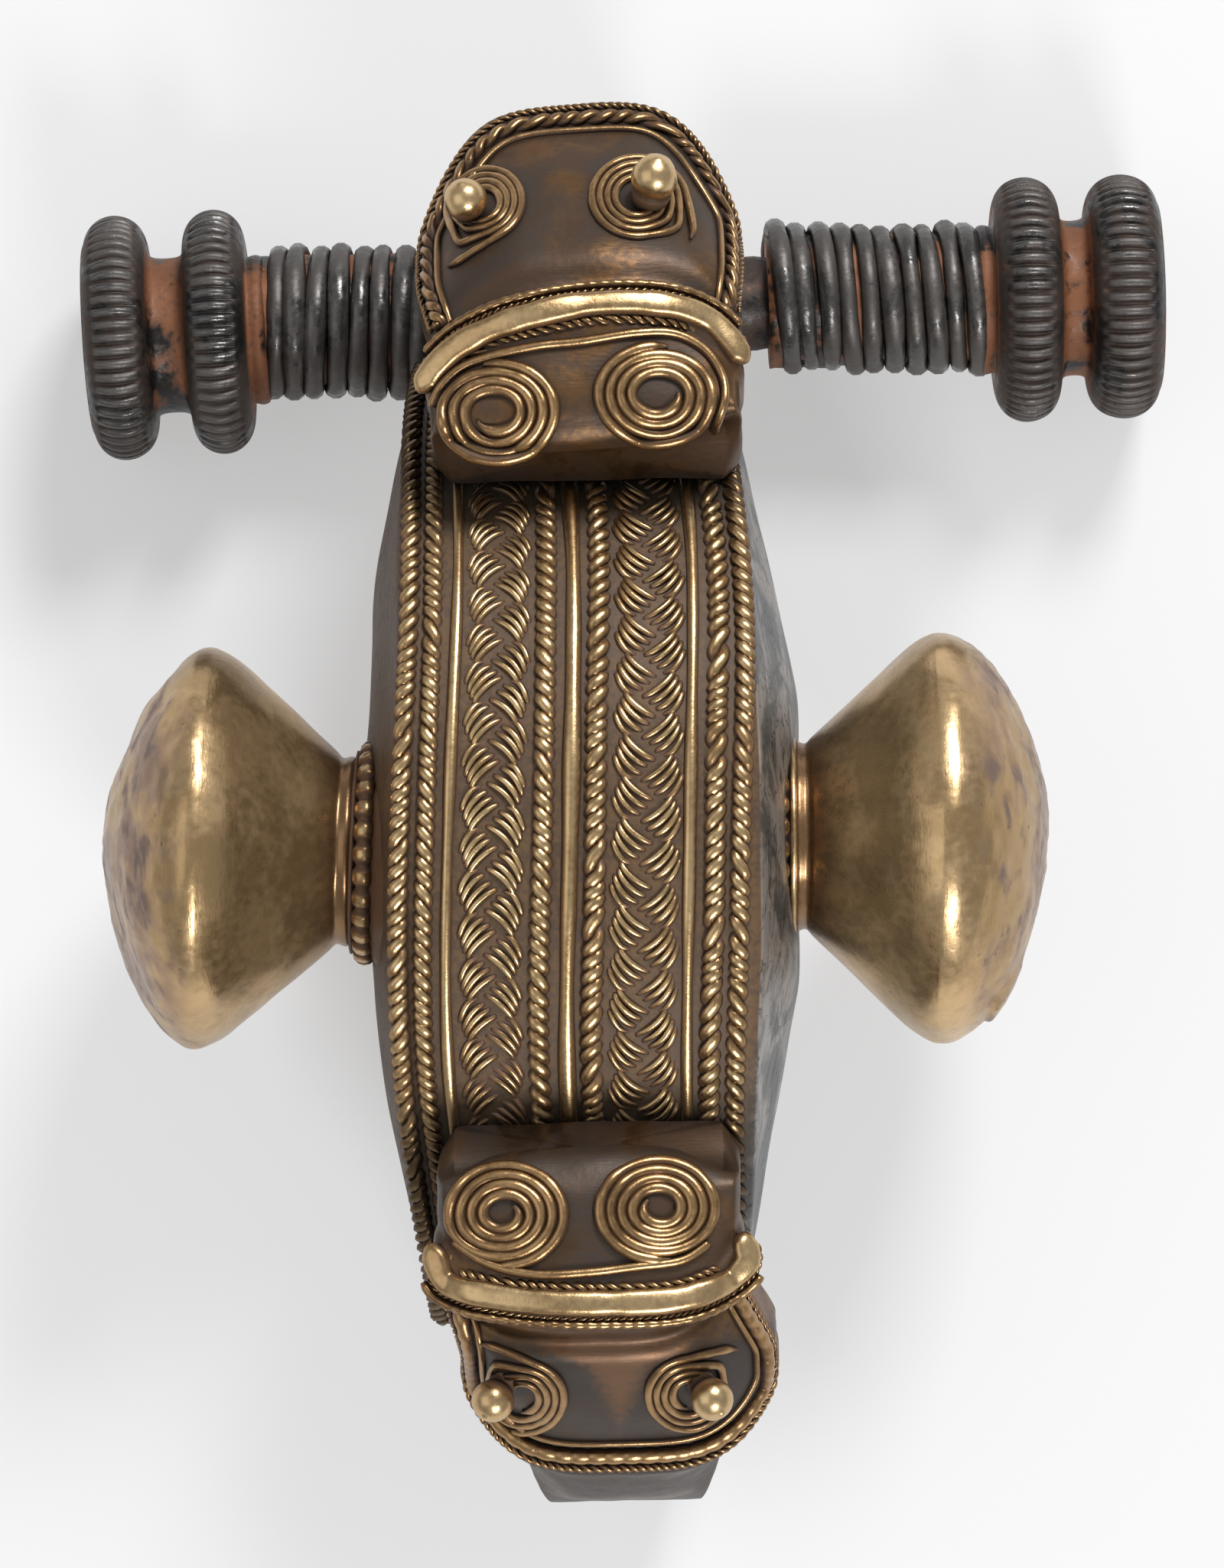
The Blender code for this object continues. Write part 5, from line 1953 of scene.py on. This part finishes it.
HEAD_SHAPE = HeadShape(
    name="head", side=1, snout_front=16.5, ridge=23.2, rim=34.6, rim_drop=7.6, snout_half=7.3,
    saddle_half=7.3, plate_half=7.75, ridge_arch=3.1, rim_arch=6.2, saddle_run=2.4, base_reach=32.1, base_half=5.8,
    snout_shift=0.8, plate_shift=0.62, base_shift=0.0, turn=0.045,
)
FOOT_SHAPE = HeadShape(
    name="foot", side=-1, snout_front=15.5, ridge=23.7, rim=30.8, rim_drop=8.0, snout_half=7.0,
    saddle_half=7.0, plate_half=7.4, ridge_arch=3.6, rim_arch=4.0, saddle_run=1.5, base_reach=32.2, base_half=3.8,
    snout_shift=0.2, plate_shift=1.45, base_shift=1.6, turn=0.0, wall_power=0.35, widening=0.7, edge=1.5,
)
HEAD_WORK = HeadWork(
    nostrils=(
        Spiral((-3.42, 18.42), 2.9, 3.7, math.radians(100), -1, 0.33, (1.0, 0.80)),
        Spiral((4.16, 19.06), 2.9, 3.8, math.radians(80), 1, 0.33, (1.0, 0.80)),
    ),
    link=(
        (-6.3, 18.9), (-5.9, 19.8), (-4.53, 20.85), (-1.49, 21.47), (0.65, 21.65), (3.16, 22.0), (4.94, 22.0),
        (6.3, 21.3), (7.1, 20.1), (7.25, 18.8), (6.8, 17.8),
    ),
    bar=(
        (-6.87, 19.55), (-6.28, 20.59), (-5.05, 21.68), (-3.25, 22.51), (-1.46, 22.94), (0.62, 23.33), (2.83, 23.43),
        (4.97, 23.24), (6.56, 22.70), (7.60, 21.66), (8.26, 20.64),
    ),
    eyes=(
        Spiral((-3.9, 29.2), 1.98, 3.8, math.radians(-119), 1, 0.36, (1.0, 1.08), math.radians(-119), 0.72),
        Spiral((3.42, 29.1), 2.35, 4.3, math.radians(-40), 1, 0.34, (1.0, 1.03), math.radians(-40), 0.36, 0.16),
    ),
    studs=(Stud((-4.5, 28.6), 1.03, 2.1), Stud((4.0, 29.0), 1.12, 2.7, (0.1, 0.0), True)),
)
FOOT_WORK = HeadWork(
    nostrils=(
        Spiral((-3.75, -18.90), 2.9, 4.4, math.radians(-100), 1, 0.22, (1.0, 0.82)),
        Spiral((3.42, -18.80), 2.9, 4.4, math.radians(-80), -1, 0.24, (1.0, 0.82)),
    ),
    link=(
        (-6.0, -20.1), (-4.44, -21.17), (-2.34, -21.7), (-0.05, -21.68), (2.24, -21.45), (4.35, -21.2), (5.6, -20.43),
    ),
    bar=(
        (-7.57, -20.17), (-7.38, -21.05), (-6.20, -22.06), (-4.46, -22.65), (-1.66, -23.03), (1.15, -23.12),
        (3.96, -23.04), (5.72, -22.52), (7.00, -21.70), (7.69, -20.74), (7.96, -20.04),
    ),
    eyes=(
        Spiral((-3.1, -27.3), 1.95, 3.6, math.radians(122), -1, 0.34, (1.05, 0.88), math.radians(122), 0.75),
        Spiral((4.6, -27.3), 1.9, 3.6, math.radians(47), 1, 0.34, (1.05, 0.90), math.radians(47), 0.66),
    ),
    studs=(Stud((-3.95, -26.5), 1.0, 2.2, (-0.3, 0.0)), Stud((5.15, -26.7), 1.0, 2.2, (0.3, 0.0))),
)


class Studio:
    """The camera at the photograph's angle, a pale floor and soft lights."""

    WIDTH = 1600
    HEIGHT = 2050
    DISTANCE = 300.0
    PIXEL = 0.0354
    TILT = math.radians(6.0)
    ROLL = math.radians(1.2)
    CREST = 26.6
    CREST_AT = (754.0, 1050.0)

    def add_camera(self) -> None:
        """Places the camera above the crest, leaning towards the foot."""
        up = Vector((0.0, math.cos(self.TILT), math.sin(self.TILT)))
        back = Vector((0.0, -math.sin(self.TILT), math.cos(self.TILT)))
        right = Vector((1.0, 0.0, 0.0))
        turned_right = right * math.cos(self.ROLL) - up * math.sin(self.ROLL)
        turned_up = right * math.sin(self.ROLL) + up * math.cos(self.ROLL)
        aside = (self.CREST_AT[0] - self.WIDTH / 2) * self.PIXEL
        above = (self.HEIGHT / 2 - self.CREST_AT[1]) * self.PIXEL
        eye = Vector((0.0, 0.0, self.CREST)) + back * self.DISTANCE - turned_right * aside - turned_up * above
        data = bpy.data.cameras.new("camera")
        data.sensor_width = 36.0
        data.lens = self.DISTANCE / self.PIXEL * data.sensor_width / self.HEIGHT
        data.clip_start = 0.01
        data.clip_end = 20.0
        camera = bpy.data.objects.new("camera", data)
        bpy.context.scene.collection.objects.link(camera)
        turn = Matrix((turned_right, turned_up, back)).transposed().to_4x4()
        camera.matrix_world = Matrix.Translation(Vector(BOW_AT) + eye * MM) @ turn
        bpy.context.scene.camera = camera

    def add_floor(self) -> None:
        """Adds a plain pale floor."""
        mesh = bpy.data.meshes.new("floor")
        reach = 1.6
        mesh.from_pydata(
            [(-reach, -reach, 0.0), (reach, -reach, 0.0), (reach, reach, 0.0), (-reach, reach, 0.0)], [], [(0, 1, 2, 3)]
        )
        floor = bpy.data.objects.new("floor", mesh)
        floor.location.z = -0.00005
        bpy.context.scene.collection.objects.link(floor)
        shader = Shader("pale floor")
        mesh.materials.append(
            shader.dress(
                Base_Color=(0.345, 0.345, 0.35), Roughness=0.8, Specular_IOR_Level=0.1,
                Emission_Color=(0.82, 0.815, 0.81), Emission_Strength=0.56,
            )
        )

    def add_light(self, name: str, azimuth: float, elevation: float, size: float, power: float) -> None:
        """Adds one soft lamp that looks at the brooch.

        Args:
            name: Its name.
            azimuth: Direction in degrees from +X towards +Y.
            elevation: Height in degrees.
            size: Its side in metres.
            power: Its power in watts.
        """
        data = bpy.data.lights.new(name, "AREA")
        data.size = size
        data.energy = power
        lamp = bpy.data.objects.new(name, data)
        turn, rise = math.radians(azimuth), math.radians(elevation)
        towards = Vector((math.cos(turn) * math.cos(rise), math.sin(turn) * math.cos(rise), math.sin(rise)))
        lamp.location = Vector((0.0, 0.0, 0.012)) + towards * 0.55
        lamp.rotation_mode = "QUATERNION"
        lamp.rotation_quaternion = towards.to_track_quat("Z", "Y")
        bpy.context.scene.collection.objects.link(lamp)

    def build(self) -> None:
        """Builds the studio."""
        self.add_camera()
        self.add_floor()
        self.add_light("upper right lamp", 68.0, 44.0, 0.15, 2.6)
        self.add_light("lower right lamp", -72.0, 40.0, 0.15, 1.9)
        self.add_light("left fill", 185.0, 50.0, 0.45, 0.5)
        world = bpy.data.worlds.new("studio")
        world.use_nodes = True
        background = world.node_tree.nodes["Background"]
        background.inputs["Color"].default_value = (0.86, 0.88, 0.92, 1.0)
        background.inputs["Strength"].default_value = 0.42
        bpy.context.scene.world = world
        view = bpy.context.scene.view_settings
        view.view_transform = "Standard"
        view.look = "None"


def head_base(bow: Bow, finishes: Finishes) -> None:
    """Builds the base at the crossbar, bored for the axle and slotted for the pin.

    Args:
        bow: The bow whose end it holds.
        finishes: The materials.
    """
    out = HEAD_SHAPE.base_reach
    outline = ledge(bow) + [
        (bow_line(bow, bow.sweep, -bow.end_depth)[0], 4.56), (23.26, 1.2), (29.5, 1.2), (out - 0.5, 3.0), (out, 5.6),
        (out, 10.0), (25.6, 10.0),
    ]
    base = Base("head_base_block", outline, 1, HEAD_SHAPE.base_half, 0.0, 0.5)
    bore = Draft("axle bore")
    bore.turned([(2.6, -14.0), (2.6, 14.0)], Crossbar(finishes).place(), 48)
    base.cut(bore)
    slot = Draft("pin slot")
    ring = 2.6 + 0.9 + GAP
    low, high = (-1.4, 21.0, -1.0), (1.4, 26.9 + ring, 5.6 + ring)
    rows = [
        [(x, y, z) for x, y in ((low[0], low[1]), (high[0], low[1]), (high[0], high[1]), (low[0], high[1]))]
        for z in (low[2], high[2])
    ]
    slot.grid(np.array(rows), 0.0)
    base.cut(slot)
    base.build(finishes.base)


def foot_base(bow: Bow, finishes: Finishes) -> None:
    """Builds the base under the bow's end at the foot.

    Args:
        bow: The bow whose end it holds.
        finishes: The materials.
    """
    out, clear, turn = FOOT_SHAPE.base_reach, 3.6, 2.0
    end = bow_line(bow, bow.sweep, 0.0)
    outline = ledge(bow) + [
        (bow_line(bow, bow.sweep, -bow.end_depth)[0], clear + turn), (29.0 - 8.0 - GAP, clear), (out - turn, clear),
        (out - 0.2 * turn, clear + 0.8 * turn), (out, clear + 1.7 * turn), (out, 10.0), (out - 0.6 * turn, 10.0),
        (out - 1.2 * turn, end[1] - 0.8 * turn), (end[0] + 1.1 * turn, end[1] - 1.1 * turn),
    ]
    Base("foot_base_block", outline, -1, FOOT_SHAPE.base_half, FOOT_SHAPE.base_shift, 2.4).build(finishes.base)


def bow_line(bow: Bow, angle: float, rise: float) -> tuple[float, float]:
    """Reach and height of a point on the bow's arc.

    Args:
        bow: The bow.
        angle: Angle from the crest.
        rise: Height over the arc.

    Returns:
        The reach and the height.
    """
    radius = bow.radius + rise
    return radius * math.sin(angle), bow.centre + radius * math.cos(angle)


def ledge(bow: Bow) -> list[tuple[float, float]]:
    """The line that a base keeps to round the bow's end.

    Args:
        bow: The bow.

    Returns:
        Points (reach, height) outside the bow and under its end face.
    """
    past = bow.sweep + GAP / bow.radius
    return [
        bow_line(bow, bow.sweep - math.radians(3.5), 0.98), bow_line(bow, past, 0.98),
        bow_line(bow, past, -bow.end_depth - GAP),
    ]


def main() -> None:
    """Builds the brooch piece by piece in the studio."""
    logging.basicConfig(level=logging.INFO, format="%(message)s")
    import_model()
    Studio().build()
    finishes = Finishes()
    bow = Bow(finishes)
    bow.build()
    Head(HEAD_SHAPE, HEAD_WORK, bow, finishes).build()
    Head(FOOT_SHAPE, FOOT_WORK, bow, finishes).build()
    head_base(bow, finishes)
    foot_base(bow, finishes)
    Knob("left", -1, finishes, reach=-1.1, cone=6.6, dome=4.7, dome_power=1.72, yaw=math.radians(-3.3)).build()
    Knob("right", 1, finishes, radius=9.9, cone=6.4, dome=5.2, yaw=math.radians(-1.0)).build()
    Crossbar(finishes).build()
    Fastening(finishes).build()


if __name__ == "__main__":
    main()
